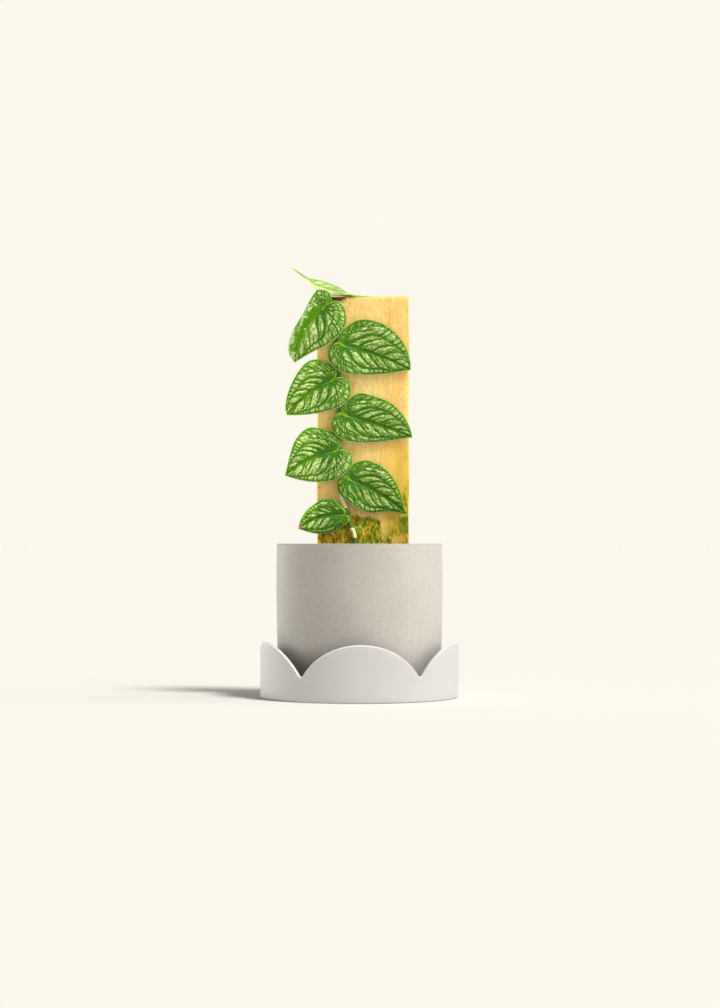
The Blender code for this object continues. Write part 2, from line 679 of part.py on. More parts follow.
def build():
    clear_scene()
    saucer()
    pot()
    soil()
    plank()
    vine()
    for name in LEAVES:
        leaf(name)
    young_leaf()
    bud_leaf()


build()
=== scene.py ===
"""The looks of a potted shingle plant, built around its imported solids.

Metres, +Z up. The plank, vine and leaves are worked out in millimetres, as in the part's own source.
The front faces -Y. The pot stands on its saucer, on the floor at the origin.
"""

import json
import math

import bmesh
import bpy
import numpy as np
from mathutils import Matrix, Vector, noise

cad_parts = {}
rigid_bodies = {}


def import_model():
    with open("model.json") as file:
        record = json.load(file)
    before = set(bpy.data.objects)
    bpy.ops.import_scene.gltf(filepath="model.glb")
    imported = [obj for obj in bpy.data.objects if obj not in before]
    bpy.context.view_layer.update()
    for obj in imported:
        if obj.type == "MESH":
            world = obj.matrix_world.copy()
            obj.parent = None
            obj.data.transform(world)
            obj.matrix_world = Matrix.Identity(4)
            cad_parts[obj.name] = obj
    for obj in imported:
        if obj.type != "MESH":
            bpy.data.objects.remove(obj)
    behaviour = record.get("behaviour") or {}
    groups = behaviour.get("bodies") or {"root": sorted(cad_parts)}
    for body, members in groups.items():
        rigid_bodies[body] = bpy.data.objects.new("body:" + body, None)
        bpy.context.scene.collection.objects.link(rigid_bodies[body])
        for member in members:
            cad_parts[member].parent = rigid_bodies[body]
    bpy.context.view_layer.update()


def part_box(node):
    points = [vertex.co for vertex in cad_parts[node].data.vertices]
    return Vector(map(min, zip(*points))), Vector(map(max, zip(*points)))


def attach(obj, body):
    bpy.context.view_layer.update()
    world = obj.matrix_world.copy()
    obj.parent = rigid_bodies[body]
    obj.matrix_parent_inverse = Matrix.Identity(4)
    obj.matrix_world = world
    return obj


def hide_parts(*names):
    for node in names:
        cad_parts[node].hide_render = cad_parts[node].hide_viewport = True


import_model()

MM = 0.001

# The photograph's frame in pixels, and what its perspective gives
IMAGE_WIDTH = 720
IMAGE_HEIGHT = 1008
FOCAL_PIXELS = 2145
AXIS_COLUMN = 359.4
HORIZON_ROW = 543.6
CAMERA_DISTANCE = 2.080
SENSOR = 36

# Studio. Colours are linear RGB, directions point to where a light comes from, spreads are degrees
CREAM = (0.973, 0.939, 0.847)
FLOOR_COLOUR = (0.5605, 0.5455, 0.5055)
FLOOR_HALF = 150
SOFT_WHITE = (1.0, 0.985, 0.95)
KEY_WHITE = (1.0, 0.99, 0.97)
AMBIENT = 0.43
GLOW_FROM = (0.95, -0.10, 0.22)
GLOW_EDGE = 0.6
GLOW_STRENGTH = 1.9
KEY_FROM = (0.365, -0.245, 0.898)
KEY_STRENGTH = 3.9
KEY_SPREAD = 12
RIM_FROM = (-0.81, 0.56, 0.05)
RIM_STRENGTH = 3.25
RIM_SPREAD = 54

# Saucer, pot and plank values, the same as in the part's source; the plank's are in millimetres
SAUCER_WALL = 3.6 * MM
SAUCER_FLOOR = 6 * MM
SAUCER_FOOT_BEVEL = 1.2 * MM
SAUCER_FILLET = 3 * MM
SCALLOPS = 5
SCALLOP_PEAK = 54.3 * MM
SCALLOP_VALLEY = 23.7 * MM
SCALLOP_NOTCH = 3 * MM
SCALLOP_TURN = math.radians(0.8)
POT_SWELL = 0.5 * MM
POT_FOOT_RADIUS = 78.4 * MM
POT_WALL = 5 * MM
POT_FLOOR = 8 * MM
POT_CORNER = 4 * MM
POT_LIP = 0.9 * MM
POT_RECESS = 1.5 * MM
POT_DRAFT = 0.5 * MM
DRAIN_RADIUS = 7 * MM
DRAIN_BEVEL = 0.6 * MM
SOIL_BELOW_RIM = 13 * MM
SOIL_CLEARANCE = 0.6 * MM
PLANK_OFFSET = 3.6
PLANK_WIDTH = 89.4
PLANK_FRONT = 2
PLANK_THICKNESS = 19
PLANK_WAVE = 0.5
PLANK_ARRIS = 0.8
PLANK_LEFT = PLANK_OFFSET - PLANK_WIDTH / 2
PLANK_RIGHT = PLANK_OFFSET + PLANK_WIDTH / 2
PLANK_BACK = PLANK_FRONT + PLANK_THICKNESS

# Read from the frame
SAUCER_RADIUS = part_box("saucer")[1].x - 0.02 * MM
POT_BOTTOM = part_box("pot")[0].z
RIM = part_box("pot")[1].z
POT_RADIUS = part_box("pot")[1].x - POT_SWELL
PLANK_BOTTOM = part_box("plank")[0].z / MM
PLANK_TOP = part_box("plank")[1].z / MM
SOIL_TOP = RIM - SOIL_BELOW_RIM
GROUND = SOIL_TOP / MM

# How fine the saucer, pot, soil and plank are here
SCALLOP_STEPS = 96
POT_SIDES = 200
SOIL_RINGS = 84
SOIL_SIDES = 230
PLANK_COLUMNS = 132
PLANK_FLANK_COLUMNS = 26
PLANK_ROWS = 196
PLANK_END_INSETS = (0.35, 0.9, 1.8, 3.2, 5, 7, PLANK_THICKNESS / 2)

# Where the algae differ, in millimetres on the plank's front.
# Bare wood: the middle's x and z, then half its width and height.
BARE_PATCH = (39.0, 153.5, 7.0, 6.5)
# Dark growth at the right edge: the x where it begins, then its lowest and highest z
GREEN_STRIP = (41.0, 158.5, 175.0)

# The vine's route up the plank as (x, z), and its sizes, in millimetres
VINE_ROUTE = [
    (-4.6, 92), (-4.6, 118), (-4.7, 149), (-5.0, 157), (-8.4, 165), (-10.0, 171), (-13.2, 182),
    (-16.8, 193), (-17.5, 205), (-16.4, 218), (-17.6, 230), (-19.4, 241), (-21.6, 255),
    (-21.0, 269), (-20.2, 283), (-19.2, 299), (-20.2, 315), (-21.7, 333), (-23.1, 351),
    (-24.1, 366), (-27.2, 381), (-28.4, 386.0),
]
VINE_RADIUS = 1.6
VINE_OFF_PLANK = 2.35
NODE_RADIUS = 1.95
NODE_REACH = 3.5
SHEATH_SWELL = 0.4
STUB = [(-10.2, 172.0), (-9.6, 175.6), (-9.2, 179.6)]
STUB_RADIUS = 1.15
STUB_TIP = 178.6
ROOT_RADIUS = 0.5
ROOT_LENGTH = 9
ROOT_ABOVE_NODE = 2.5
ROOTS_ABOVE = 200
# Where the stem shows its pale sheaths, as ranges of height
PALE_SHEATHS = [
    (153.7, 163.4), (182.5, 196), (222, 234), (255, 268), (290, 303), (322, 336), (356, 368),
]

# Leaves, as in the part's source: their outlines, and how far blades stand off the plank.
# hub is how far the dark green spreads round the joint; fresh is how much a leaf is lightened, partly a
# paler tone of its own and partly painted light on leaves that lie in shade.
PETIOLE_RADIUS = 1.0
GAP = 0.3
NOTCH = (-1.3, 0.0)
SLANT = 0.5
EDGE_HEIGHT = 1.9
VINE_HEIGHT = 5.6
VINE_SPREAD = 18
SHINGLE_SLOPE = 0.06
DOME = 1.0
LEAVES = {
    "leaf_1": dict(
        joint=(-34.7, 376.6), tip=(-63.0, 324.0), bow=8.0, back=0.012, node=379, hub=10, fresh=0.3,
        upper=[(-7.5, -1.4), (-12, -1.6), (-15.9, 2.4), (-15.2, 8.6), (-11.6, 14.2), (0, 15.5),
               (13, 15.3), (30, 16.3), (44, 14.8), (54, 9.5)],
        lower=[(-8, -3.2), (-12, -8), (-10, -17), (-3, -23.5), (6, -26.6), (17, -25.7),
               (29, -21), (39, -13.5), (50, -6)]),
    "leaf_2": dict(
        joint=(-15.9, 339.8), tip=(49.6, 316.3), bow=3.2, back=0.0, node=348, hub=11, fresh=0.0,
        upper=[(-6, 4.2), (-7.5, 9), (-4, 16.5), (3, 26.6), (11.5, 31.6), (21.9, 33.4),
               (31, 33.1), (43, 29.5), (54, 23), (62.5, 14.2), (67.5, 6)],
        lower=[(-6.5, 1.4), (-11, -4), (-11.3, -11.5), (-7, -18.8), (3, -24), (14.7, -23.9),
               (30, -19.2), (50, -10.5), (60, -4.8)]),
    "leaf_3": dict(
        joint=(-25.8, 306.6), tip=(-70.5, 272.8), bow=4.2, back=0.003, node=314, hub=10, fresh=0.3,
        upper=[(-6.5, 1.8), (-9, 6), (-6.7, 14.3), (-1, 24.3), (5, 28.5), (13, 29.2),
               (24, 26.3), (36.4, 20.4), (46, 13.7), (52.5, 7)],
        lower=[(-6.5, -1.2), (-11, -5.5), (-10.2, -14.7), (-3.5, -23), (6, -25.2), (16, -23.4),
               (31, -16.8), (44, -9)]),
    "leaf_4": dict(
        joint=(-13.0, 271.8), tip=(51.4, 251.1), bow=1.8, back=0.0, node=280, hub=11, fresh=0.0,
        upper=[(-6, 4.2), (-7, 9), (-2.6, 16), (4, 24), (12, 26.6), (28, 26.8), (40, 24.8),
               (52, 18.3), (60, 11.3), (65.5, 4)],
        lower=[(-6.5, 1.6), (-11, -4.5), (-10.6, -13), (-4, -20.2), (6, -22.6), (20, -20.8),
               (36, -15), (50, -8.6), (60, -3.5)]),
    "leaf_5": dict(
        joint=(-23.4, 237.5), tip=(-72.4, 214.2), bow=4.5, back=0.003, node=242.5, hub=12, fresh=0.5,
        upper=[(-5.5, 1.6), (-9.7, 5.5), (-9.6, 11), (-4.5, 19), (4.5, 27.3), (12, 31.8),
               (20, 31.6), (31, 26.4), (41.3, 16), (49, 6.5)],
        lower=[(-6.5, -0.8), (-12.3, -5.5), (-12, -14), (-5, -21.3), (8, -25), (18, -23.6),
               (33, -17), (45, -8.5)]),
    "leaf_6": dict(
        joint=(-10.1, 210.3), tip=(46.8, 175.9), bow=3.9, back=0.0, node=217, hub=11, fresh=0.0,
        upper=[(-5.2, 3.8), (-6.2, 8), (-3, 17), (4, 24.2), (12, 26.8), (20.5, 27.6),
               (31, 25.6), (43, 19.7), (54, 11), (61, 3.8)],
        lower=[(-5.6, 1.2), (-9, -4), (-5.5, -12.5), (2, -17.7), (13, -19), (26, -19.3),
               (36, -16.3), (46, -8.5), (56, -3.2)]),
    "leaf_7": dict(
        joint=(-15.4, 175.8), tip=(-59.3, 162.6), bow=5.0, back=0.003, node=175.6, hub=9, fresh=0.9,
        upper=[(-2.8, 1.6), (-3.2, 4.1), (0.2, 9.6), (4.5, 16.6), (9.9, 19.6), (15.4, 20.7),
               (21.1, 19.6), (29.4, 16.6), (36.5, 12.3), (42.6, 6)],
        lower=[(-3.2, -1.2), (-5.3, -4), (-4, -7), (1, -9.2), (7, -11.3), (14.5, -12.4),
               (24, -11.5), (34, -7.8)]),
}
BLOTCHED = "leaf_1"
DRIED_TIP = "leaf_7"
# How far ahead of its joint the middle of a leaf's dark hub lies
HUB_AHEAD = 6.0
YOUNG_JOINT = (-7.2, 14.4)
YOUNG_AIM = (-0.995, -0.05)
YOUNG_TIP = 60.0
YOUNG_NEAR = [(-5, 1.0), (-16, 4), (-16, 9), (-6, 12.4), (8, 13.4), (22, 13.4), (33, 13.2),
              (38.5, 11), (41.2, 6), (43, 2.0), (51, 1.0)]
YOUNG_FAR = [(-5, -1.0), (-14, -5), (-14, -12), (-4, -16.5), (8, -18), (20, -17.5),
             (31, -14), (38, -8.5), (42.6, -2.4), (51, -1.0)]
YOUNG_SPINE = [(-17, 0.8), (-8, 0.9), (0, 2.4), (13, 10.3), (26, 15.6), (37, 18.2), (43, 19.2),
               (51, 24.0), (60, 29.8)]
YOUNG_FOLD = 0.86
YOUNG_FOLD_FROM = -2
YOUNG_FOLD_TO = 20
YOUNG_TAIL_SWELL = 0.9
YOUNG_PETIOLE = [(-28.2, 0.5, 1.0), (-23, 5.2, 2.0), (-14, 11.4, 2.0), (-6, 14.4, 1.8)]
YOUNG_STALK_RADIUS = 0.95
BUD_JOINT = (-1.5, 163.3)
BUD_TIP = (2.9, 163.0)
BUD_UPPER = [(-0.4, 1.1), (1.4, 2.7), (3.2, 1.6)]
BUD_LOWER = [(-0.4, -1.1), (1.6, -2.8), (3.2, -1.5)]
BUD_HEIGHT = 3.4
BUD_STALK_RADIUS = 0.6

# How fine the blades are here, and their relief
LOBE_ROWS = 76
STATIONS = 104
FRONT_RINGS = 58
BACK_RINGS = 14
BLADE_THICKNESS = 0.62
RIM_ROUND = 0.5
PUFF = 0.42
VEIN_DEPTH = 0.16
THREAD_DEPTH = 0.14
MIDRIB_DEPTH = 0.22
BACK_RELIEF = 0.6

# Veins of a half blade, in (row, share): row is -1 at the notch, 0 where the lobe ends and 1 at
# the tip, and share is 0 on the midrib and 1 at the edge. Half widths are in millimetres.
ARCH_LEVELS = (0.61, 0.71)
ARCH_HALF_WIDTHS = (1.8, 0.45)
SIDE_VEINS = {4: (0.19, 0.37, 0.55, 0.74), 5: (0.16, 0.31, 0.46, 0.61, 0.77)}
SIDE_HALF_WIDTHS = (1.8, 0.42)
SIDE_LEAN = 0.19
LOBE_VEINS = (-0.14, -0.34, -0.54, -0.76)
LOBE_ARCH = 0.68
EDGE_VEIN_STEP = 0.055
BORDER = 0.11
BORDER_RANGE = (0.8, 1.7)
# A mark that says nothing is near
FAR = 9.0

# What the crumbs' places and the veins' waver are drawn from
CRUMB_SEED = 11
WAVER_SEED = 5


# Nodes

class Value:
    """What a node gives. Plain arithmetic on it adds the next node."""

    def __init__(self, nodes, socket):
        self.nodes = nodes
        self.socket = socket

    def math(self, operation, other=0.0):
        return self.nodes.add("ShaderNodeMath", (self, other), operation=operation)

    def __add__(self, other):
        return self.math("ADD", other)

    def __sub__(self, other):
        return self.math("SUBTRACT", other)

    def __mul__(self, other):
        return self.math("MULTIPLY", other)

    def __truediv__(self, other):
        return self.math("DIVIDE", other)

    def __pow__(self, other):
        return self.math("POWER", other)

    def __abs__(self):
        return self.math("ABSOLUTE")

    def most(self, other):
        return self.math("MAXIMUM", other)

    def ease(self, low, high, start=0.0, end=1.0):
        """start below low, end above high, and smooth between."""
        inputs = (self, low, high, start, end)
        return self.nodes.add("ShaderNodeMapRange", inputs, interpolation_type="SMOOTHSTEP")


class Nodes:
    """Short ways to add nodes to a tree."""

    def __init__(self, tree):
        self.tree = tree

    def put(self, socket, value):
        """Link a socket to a value, or set it to a number, a vector or a colour."""
        if isinstance(value, Value):
            self.tree.links.new(value.socket, socket)
        elif isinstance(value, tuple) and socket.type == "RGBA":
            socket.default_value = (*value, 1.0)
        else:
            socket.default_value = value

    def node(self, kind, inputs=(), **settings):
        """A node with its settings, and its inputs filled in order or by name."""
        made = self.tree.nodes.new(kind)
        for key, value in settings.items():
            setattr(made, key, value)
        pairs = inputs.items() if isinstance(inputs, dict) else enumerate(inputs)
        for key, value in pairs:
            self.put(made.inputs[key], value)
        return made

    def add(self, kind, inputs=(), output=0, **settings):
        """The same, for what the node gives."""
        return Value(self, self.node(kind, inputs, **settings).outputs[output])


class Shade(Nodes):
    """A material, painted in its object's own space."""

    def __init__(self, name):
        self.material = bpy.data.materials.new(name)
        self.material.use_nodes = True
        super().__init__(self.material.node_tree)
        self.shader = self.tree.nodes["Principled BSDF"]
        self.place = self.add("ShaderNodeTexCoord", output="Object")

    def mark(self, name):
        """A number stored on the mesh's points."""
        return self.add("ShaderNodeAttribute", output="Fac", attribute_name=name)

    def axes(self):
        split = self.node("ShaderNodeSeparateXYZ", (self.place,))
        return [Value(self, socket) for socket in split.outputs]

    def mix(self, share, a, b, blend="MIX"):
        """Colour a where share is 0 and colour b where it is 1."""
        inputs = {0: share, 6: a, 7: b}
        return self.add("ShaderNodeMix", inputs, 2, data_type="RGBA", blend_type=blend)

    def layers(self, tone, *coats):
        """A tone under coats of (share, colour), one over another."""
        for share, colour in coats:
            tone = self.mix(share, tone, colour)
        return tone

    def noise(self, scale, detail=3.0, roughness=0.55, stretch=None, vector=None, distortion=0.0):
        place = vector or self.place
        if stretch:
            place = self.add("ShaderNodeMapping", {"Vector": place, "Scale": stretch})
        inputs = {"Vector": place, "Scale": scale, "Detail": detail, "Roughness": roughness,
                  "Distortion": distortion}
        return self.add("ShaderNodeTexNoise", inputs)

    def flow(self, across, along):
        """A leaf's own space, drawn out along its side veins."""
        inputs = (self.mark("flow_u") * across, self.mark("flow_v") * along)
        return self.add("ShaderNodeCombineXYZ", inputs)

    def bump(self, height, strength, distance):
        inputs = {"Height": height, "Strength": strength, "Distance": distance}
        self.put(self.shader.inputs["Normal"], self.add("ShaderNodeBump", inputs))

    def finish(self, colour, roughness, **plain):
        self.put(self.shader.inputs["Base Color"], colour)
        self.put(self.shader.inputs["Roughness"], roughness)
        for name, value in plain.items():
            self.shader.inputs[name.replace("_", " ")].default_value = value
        return self.material


# Meshes

def add_piece(name, points, faces, material, replaced=(), marks=None, sharp=None):
    """A mesh piece from points in metres, which rides on the root body."""
    mesh = bpy.data.meshes.new(name)
    mesh.from_pydata([tuple(point) for point in points], [], [tuple(face) for face in faces])
    for label, values in (marks or {}).items():
        layer = mesh.attributes.new(label, "FLOAT", "POINT")
        layer.data.foreach_set("value", np.asarray(values, dtype=np.float32))
    bm = bmesh.new()
    bm.from_mesh(mesh)
    bmesh.ops.recalc_face_normals(bm, faces=bm.faces)
    bm.to_mesh(mesh)
    bm.free()
    mesh.shade_smooth()
    if sharp:
        mesh.set_sharp_from_angle(angle=math.radians(sharp))
    mesh.materials.append(material)
    piece = bpy.data.objects.new(name, mesh)
    bpy.context.scene.collection.objects.link(piece)
    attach(piece, "root")
    if replaced:
        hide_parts(*replaced)
    return piece


class Heap:
    """Several small meshes gathered into one piece. A mark that one of them lacks is 0 on it."""

    def __init__(self):
        self.points = []
        self.faces = []
        self.marks = []
        self.count = 0

    def add(self, points, faces, **marks):
        """Add a mesh with its points in millimetres."""
        self.points.append(np.asarray(points, float) * MM)
        self.faces += [tuple(i + self.count for i in face) for face in faces]
        self.marks.append(marks)
        self.count += len(points)

    def values(self, label):
        parts = zip(self.points, self.marks)
        return [np.broadcast_to(marks.get(label, 0.0), len(points)) for points, marks in parts]

    def piece(self, name, material, slot, replaced=(), sharp=None):
        labels = dict.fromkeys(label for marks in self.marks for label in marks)
        marks = {label: np.concatenate(self.values(label)) for label in labels}
        add_piece(name, np.vstack(self.points), self.faces, material, replaced, marks, sharp)


def ring_faces(rows, columns, closed=False):
    """Quads between rings of points, one ring after another, and back to the first if closed."""
    faces = []
    for i in range(rows if closed else rows - 1):
        here, there = i * columns, (i + 1) % rows * columns
        for j in range(columns):
            k = (j + 1) % columns
            faces.append((here + j, here + k, there + k, there + j))
    return faces


def fan(first, columns, centre):
    """Triangles from a ring of points to its centre."""
    return [(first + j, first + (j + 1) % columns, centre) for j in range(columns)]


def curve_through(points, steps):
    """Points along a smooth curve through the given points, with steps to each stretch."""
    given = np.asarray(points, float)
    ends = np.vstack([2 * given[0] - given[1], given, 2 * given[-1] - given[-2]])
    t = (np.arange(steps) / steps)[:, None]
    found = []
    for before, here, there, after in zip(ends, ends[1:], ends[2:], ends[3:]):
        bend = (2 * before - 5 * here + 4 * there - after) * t ** 2
        twist = (3 * here - before - 3 * there + after) * t ** 3
        found.append((2 * here + (there - before) * t + bend + twist) / 2)
    return np.vstack(found + [given[-1:]])


def tube(points, radii, sides):
    """Points and faces of a closed round tube, with rounded ends."""
    points = np.asarray(points, float)
    radii = np.broadcast_to(np.asarray(radii, float), len(points))
    ahead = np.gradient(points, axis=0)
    ahead /= np.linalg.norm(ahead, axis=1)[:, None]
    angles = 2 * math.pi * np.arange(sides) / sides
    normal = np.array(Vector(ahead[0]).orthogonal().normalized())
    rounding = [(0.6, 0.45), (0.35, 0.85)]
    rings = []
    for i, (point, along, radius) in enumerate(zip(points, ahead, radii)):
        normal = normal - along * normal.dot(along)
        normal /= np.linalg.norm(normal)
        side = np.cross(along, normal)
        circle = np.outer(np.cos(angles), normal) + np.outer(np.sin(angles), side)
        before = [(-push, share) for push, share in rounding] if i == 0 else []
        after = rounding[::-1] if i == len(points) - 1 else []
        for push, share in before + [(0.0, 1.0)] + after:
            rings.append(point + along * push * radius + circle * radius * share)
    caps = [points[0] - ahead[0] * radii[0] * 0.7, points[-1] + ahead[-1] * radii[-1] * 0.7]
    low = len(rings) * sides
    faces = ring_faces(len(rings), sides) + fan(0, sides, low) + fan(low - sides, sides, low + 1)
    return np.vstack([*rings, caps]), faces


def smooth(value, low, high):
    t = np.clip((value - low) / (high - low), 0, 1)
    return t * t * (3 - 2 * t)


# Studio

def camera():
    """Level, at the height of the pot's rim."""
    data = bpy.data.cameras.new("camera")
    data.sensor_fit = "VERTICAL"
    data.sensor_height = SENSOR
    data.lens = FOCAL_PIXELS * SENSOR / IMAGE_HEIGHT
    data.shift_x = (IMAGE_WIDTH / 2 - AXIS_COLUMN) / IMAGE_HEIGHT
    data.shift_y = (HORIZON_ROW - IMAGE_HEIGHT / 2) / IMAGE_HEIGHT
    data.clip_end = 400
    made = bpy.data.objects.new("camera", data)
    made.location = (0, -CAMERA_DISTANCE, RIM)
    made.rotation_euler = (math.pi / 2, 0, 0)
    bpy.context.scene.collection.objects.link(made)
    bpy.context.scene.camera = made


def floor():
    """A wide pale floor that runs to the horizon."""
    mesh = bpy.data.meshes.new("floor")
    corners = [(-1, -1), (1, -1), (1, 1), (-1, 1)]
    mesh.from_pydata([(x * FLOOR_HALF, y * FLOOR_HALF, 0) for x, y in corners], [], [(0, 1, 2, 3)])
    mesh.materials.append(Shade("floor").finish(FLOOR_COLOUR, 0.9, Specular_IOR_Level=0.0))
    made = bpy.data.objects.new("floor", mesh)
    made.location = (0, 0, -0.1 * MM)
    bpy.context.scene.collection.objects.link(made)


def sun(name, direction, strength, spread, colour):
    """A soft light that shines from the given direction."""
    data = bpy.data.lights.new(name, "SUN")
    data.energy = strength
    data.angle = math.radians(spread)
    data.color = colour
    made = bpy.data.objects.new(name, data)
    made.rotation_euler = Vector(direction).to_track_quat("Z", "Y").to_euler()
    bpy.context.scene.collection.objects.link(made)
    return made


def rim_light():
    """A broad low light behind on the left, which lights the pieces and not the floor."""
    lit = bpy.data.collections.new("lit_from_behind")
    for piece in bpy.context.scene.collection.objects:
        if piece.type == "MESH" and piece.name != "floor":
            lit.objects.link(piece)
    made = sun("rim", RIM_FROM, RIM_STRENGTH, RIM_SPREAD, SOFT_WHITE)
    made.light_linking.receiver_collection = lit


def surroundings():
    """Soft light from all round, with a broad glow on the right.

    The lens sees the same cream as on the lit floor.
    """
    world = bpy.data.worlds.new("studio")
    world.use_nodes = True
    world.node_tree.nodes.clear()
    nodes = Nodes(world.node_tree)
    aim = nodes.add("ShaderNodeTexCoord", output="Generated")
    facing = nodes.add("ShaderNodeVectorMath", (aim, Vector(GLOW_FROM).normalized()), "Value",
                       operation="DOT_PRODUCT")
    strength = facing.ease(GLOW_EDGE, 1.0, 0.0, GLOW_STRENGTH) + AMBIENT
    light = nodes.add("ShaderNodeBackground", (SOFT_WHITE, strength))
    seen = nodes.add("ShaderNodeBackground", (CREAM,))
    by_lens = nodes.add("ShaderNodeLightPath", output="Is Camera Ray")
    both = nodes.add("ShaderNodeMixShader", (by_lens, light, seen))
    nodes.node("ShaderNodeOutputWorld", (both,))
    bpy.context.scene.world = world


def studio():
    camera()
    floor()
    surroundings()
    sun("key", KEY_FROM, KEY_STRENGTH, KEY_SPREAD, KEY_WHITE)
    bpy.context.scene.view_settings.view_transform = "Standard"
    bpy.context.scene.view_settings.look = "None"


# Saucer and pot

def round_corner(centre, radius, start, end, steps):
    """Points (radius, height) on an arc about a centre, from one angle to another, in degrees."""
    angles = np.radians(np.linspace(start, end, steps))
    return [(centre[0] + radius * math.cos(a), centre[1] + radius * math.sin(a)) for a in angles]


def scallop_height(t):
    """Height of the saucer's wall, for t from -1 to 1 across one scallop."""
    half = SAUCER_RADIUS * math.pi / SCALLOPS
    drop = SCALLOP_PEAK - SCALLOP_VALLEY + 0.7 * SCALLOP_NOTCH
    radius = (half * half + drop * drop) / (2 * drop)

    def arc(s):
        return SCALLOP_PEAK - radius + math.sqrt(radius * radius - s * s)

    from_valley = half * (1 - abs(t))
    if from_valley >= SCALLOP_NOTCH:
        return arc(half - from_valley)
    edge = half - SCALLOP_NOTCH
    slope = edge / math.sqrt(radius * radius - edge * edge)
    rise = from_valley * from_valley / (2 * SCALLOP_NOTCH) - SCALLOP_NOTCH / 2
    return arc(edge) + slope * rise


def saucer_section(top):
    """A closed section of the wall and half the floor, as (radius, height)."""
    outer = SAUCER_RADIUS
    inner = outer - SAUCER_WALL
    soft = SAUCER_WALL * 0.47
    bevel = SAUCER_FOOT_BEVEL
    fillet = SAUCER_FILLET
    return (
        [(r, 0.0) for r in np.linspace(0.02, 0.96, 6) * outer]
        + round_corner((outer - bevel, bevel), bevel, -90, 0, 5)
        + [(outer, z) for z in np.linspace(bevel, top - soft, 9)[1:-1]]
        + round_corner((outer - soft, top - soft), soft, 0, 90, 7)
        + round_corner((inner + soft, top - soft), soft, 90, 180, 7)
        + [(inner, z) for z in np.linspace(top - soft, SAUCER_FLOOR + fillet, 7)[1:-1]]
        + round_corner((inner - fillet, SAUCER_FLOOR + fillet), fillet, 0, -90, 6)
        + [(r, SAUCER_FLOOR) for r in np.linspace(0.93, 0.02, 9) * (inner - fillet)]
    )


def saucer():
    points = []
    for scallop in range(SCALLOPS):
        for step in range(SCALLOP_STEPS):
            u = 2 * step / SCALLOP_STEPS - 1
            t = 0.5 * (u + math.sin(u * math.pi / 2))
            angle = SCALLOP_TURN - math.pi / 2 + (2 * scallop + t) * math.pi / SCALLOPS
            section = saucer_section(scallop_height(t))
            points.append([(math.cos(angle) * r, math.sin(angle) * r, z) for r, z in section])
    turned = np.swapaxes(np.array(points), 0, 1)
    rows, columns = turned.shape[:2]
    under = rows * columns
    faces = ring_faces(rows, columns)
    faces += fan(0, columns, under) + fan(under - columns, columns, under + 1)
    points = np.vstack([turned.reshape(-1, 3), [(0, 0, 0), (0, 0, SAUCER_FLOOR)]])
    add_piece("saucer_glazed", points, faces, glaze_finish(), ["saucer"], sharp=50)


def glaze_finish():
    """Smooth off-white glaze with a few fine pits; painted shade on its lit right side, painted light on
    its left.
    """
    shade = Shade("glaze")
    x = shade.axes()[0]
    # Painted shade and painted light: darker towards the key light on the right, lighter on the shaded
    # left
    side = (x + (shade.noise(14) - 0.5) * 0.08).ease(-0.06, 0.09)
    pits = shade.noise(1900, 2).ease(0.7, 0.8) * 0.25
    tone = shade.layers(
        shade.mix(side, (0.618, 0.600, 0.591), (0.505, 0.490, 0.482)),
        (pits, (0.42, 0.40, 0.37)),
    )
    shade.bump(shade.noise(420, 2), 0.06, 0.4 * MM)
    roughness = shade.noise(60, 4).ease(0.3, 0.7, 0.42, 0.52)
    return shade.finish(tone, roughness, Specular_IOR_Level=0.12)


def pot_wall(height):
    """The outside of the pot's wall, straight at the foot and slightly swollen above."""
    wall_z = POT_CORNER + np.linspace(0, 1, 26) * (height - POT_LIP - POT_CORNER)
    swell = np.array((-0.4, 0.5, 1, 0.7, 0)) * POT_SWELL
    wall_r = np.interp(wall_z / height, (0.03, 0.35, 0.55, 0.75, 0.9, 1.0),
                       (POT_FOOT_RADIUS, *(POT_RADIUS + swell)))
    wall_r = np.convolve(np.pad(wall_r, 3, mode="edge"), np.ones(7) / 7, mode="valid")
    wall_r[0] = POT_FOOT_RADIUS
    wall_r[-1] = POT_RADIUS
    return list(zip(wall_r, wall_z))


def pot_profile():
    """The pot's section as (radius, height above its foot), from its drain hole round and back."""
    height = RIM - POT_BOTTOM
    inner = POT_RADIUS - POT_WALL
    foot_ring = POT_FOOT_RADIUS - 9 * MM
    corner = POT_CORNER
    inside_z = np.linspace(height - POT_LIP, POT_FLOOR + corner, 12)
    return (
        [(DRAIN_RADIUS, POT_RECESS + DRAIN_BEVEL), (DRAIN_RADIUS + DRAIN_BEVEL, POT_RECESS)]
        + [(r, POT_RECESS) for r in np.linspace(DRAIN_RADIUS + 4 * MM, foot_ring, 6)]
        + [(foot_ring + 0.7 * MM, 0.5 * MM), (foot_ring + POT_RECESS, 0)]
        + [(POT_FOOT_RADIUS - corner - 1 * MM, 0)]
        + round_corner((POT_FOOT_RADIUS - corner, corner), corner, -90, 0, 8)[:-1]
        + pot_wall(height)
        + round_corner((POT_RADIUS - POT_LIP, height - POT_LIP), POT_LIP, 0, 90, 8)[1:]
        + round_corner((inner + POT_LIP, height - POT_LIP), POT_LIP, 90, 180, 8)
        + [(inner - POT_DRAFT * i / 11, z) for i, z in enumerate(inside_z)][1:]
        + round_corner((inner - POT_DRAFT - corner, POT_FLOOR + corner), corner, 0, -90, 6)[1:]
        + [(r, POT_FLOOR) for r in np.linspace(inner - 3 * corner, DRAIN_RADIUS + DRAIN_BEVEL, 6)]
        + [(DRAIN_RADIUS, POT_FLOOR - DRAIN_BEVEL)]
    )


def pot():
    profile = pot_profile()
    angles = 2 * math.pi * np.arange(POT_SIDES) / POT_SIDES
    rings = [np.column_stack([r * np.cos(angles), r * np.sin(angles), np.full(POT_SIDES, POT_BOTTOM + z)])
             for r, z in profile]
    faces = ring_faces(len(profile), POT_SIDES, closed=True)
    add_piece("pot_stoneware", np.vstack(rings), faces, stoneware_finish(), ["pot"], sharp=60)


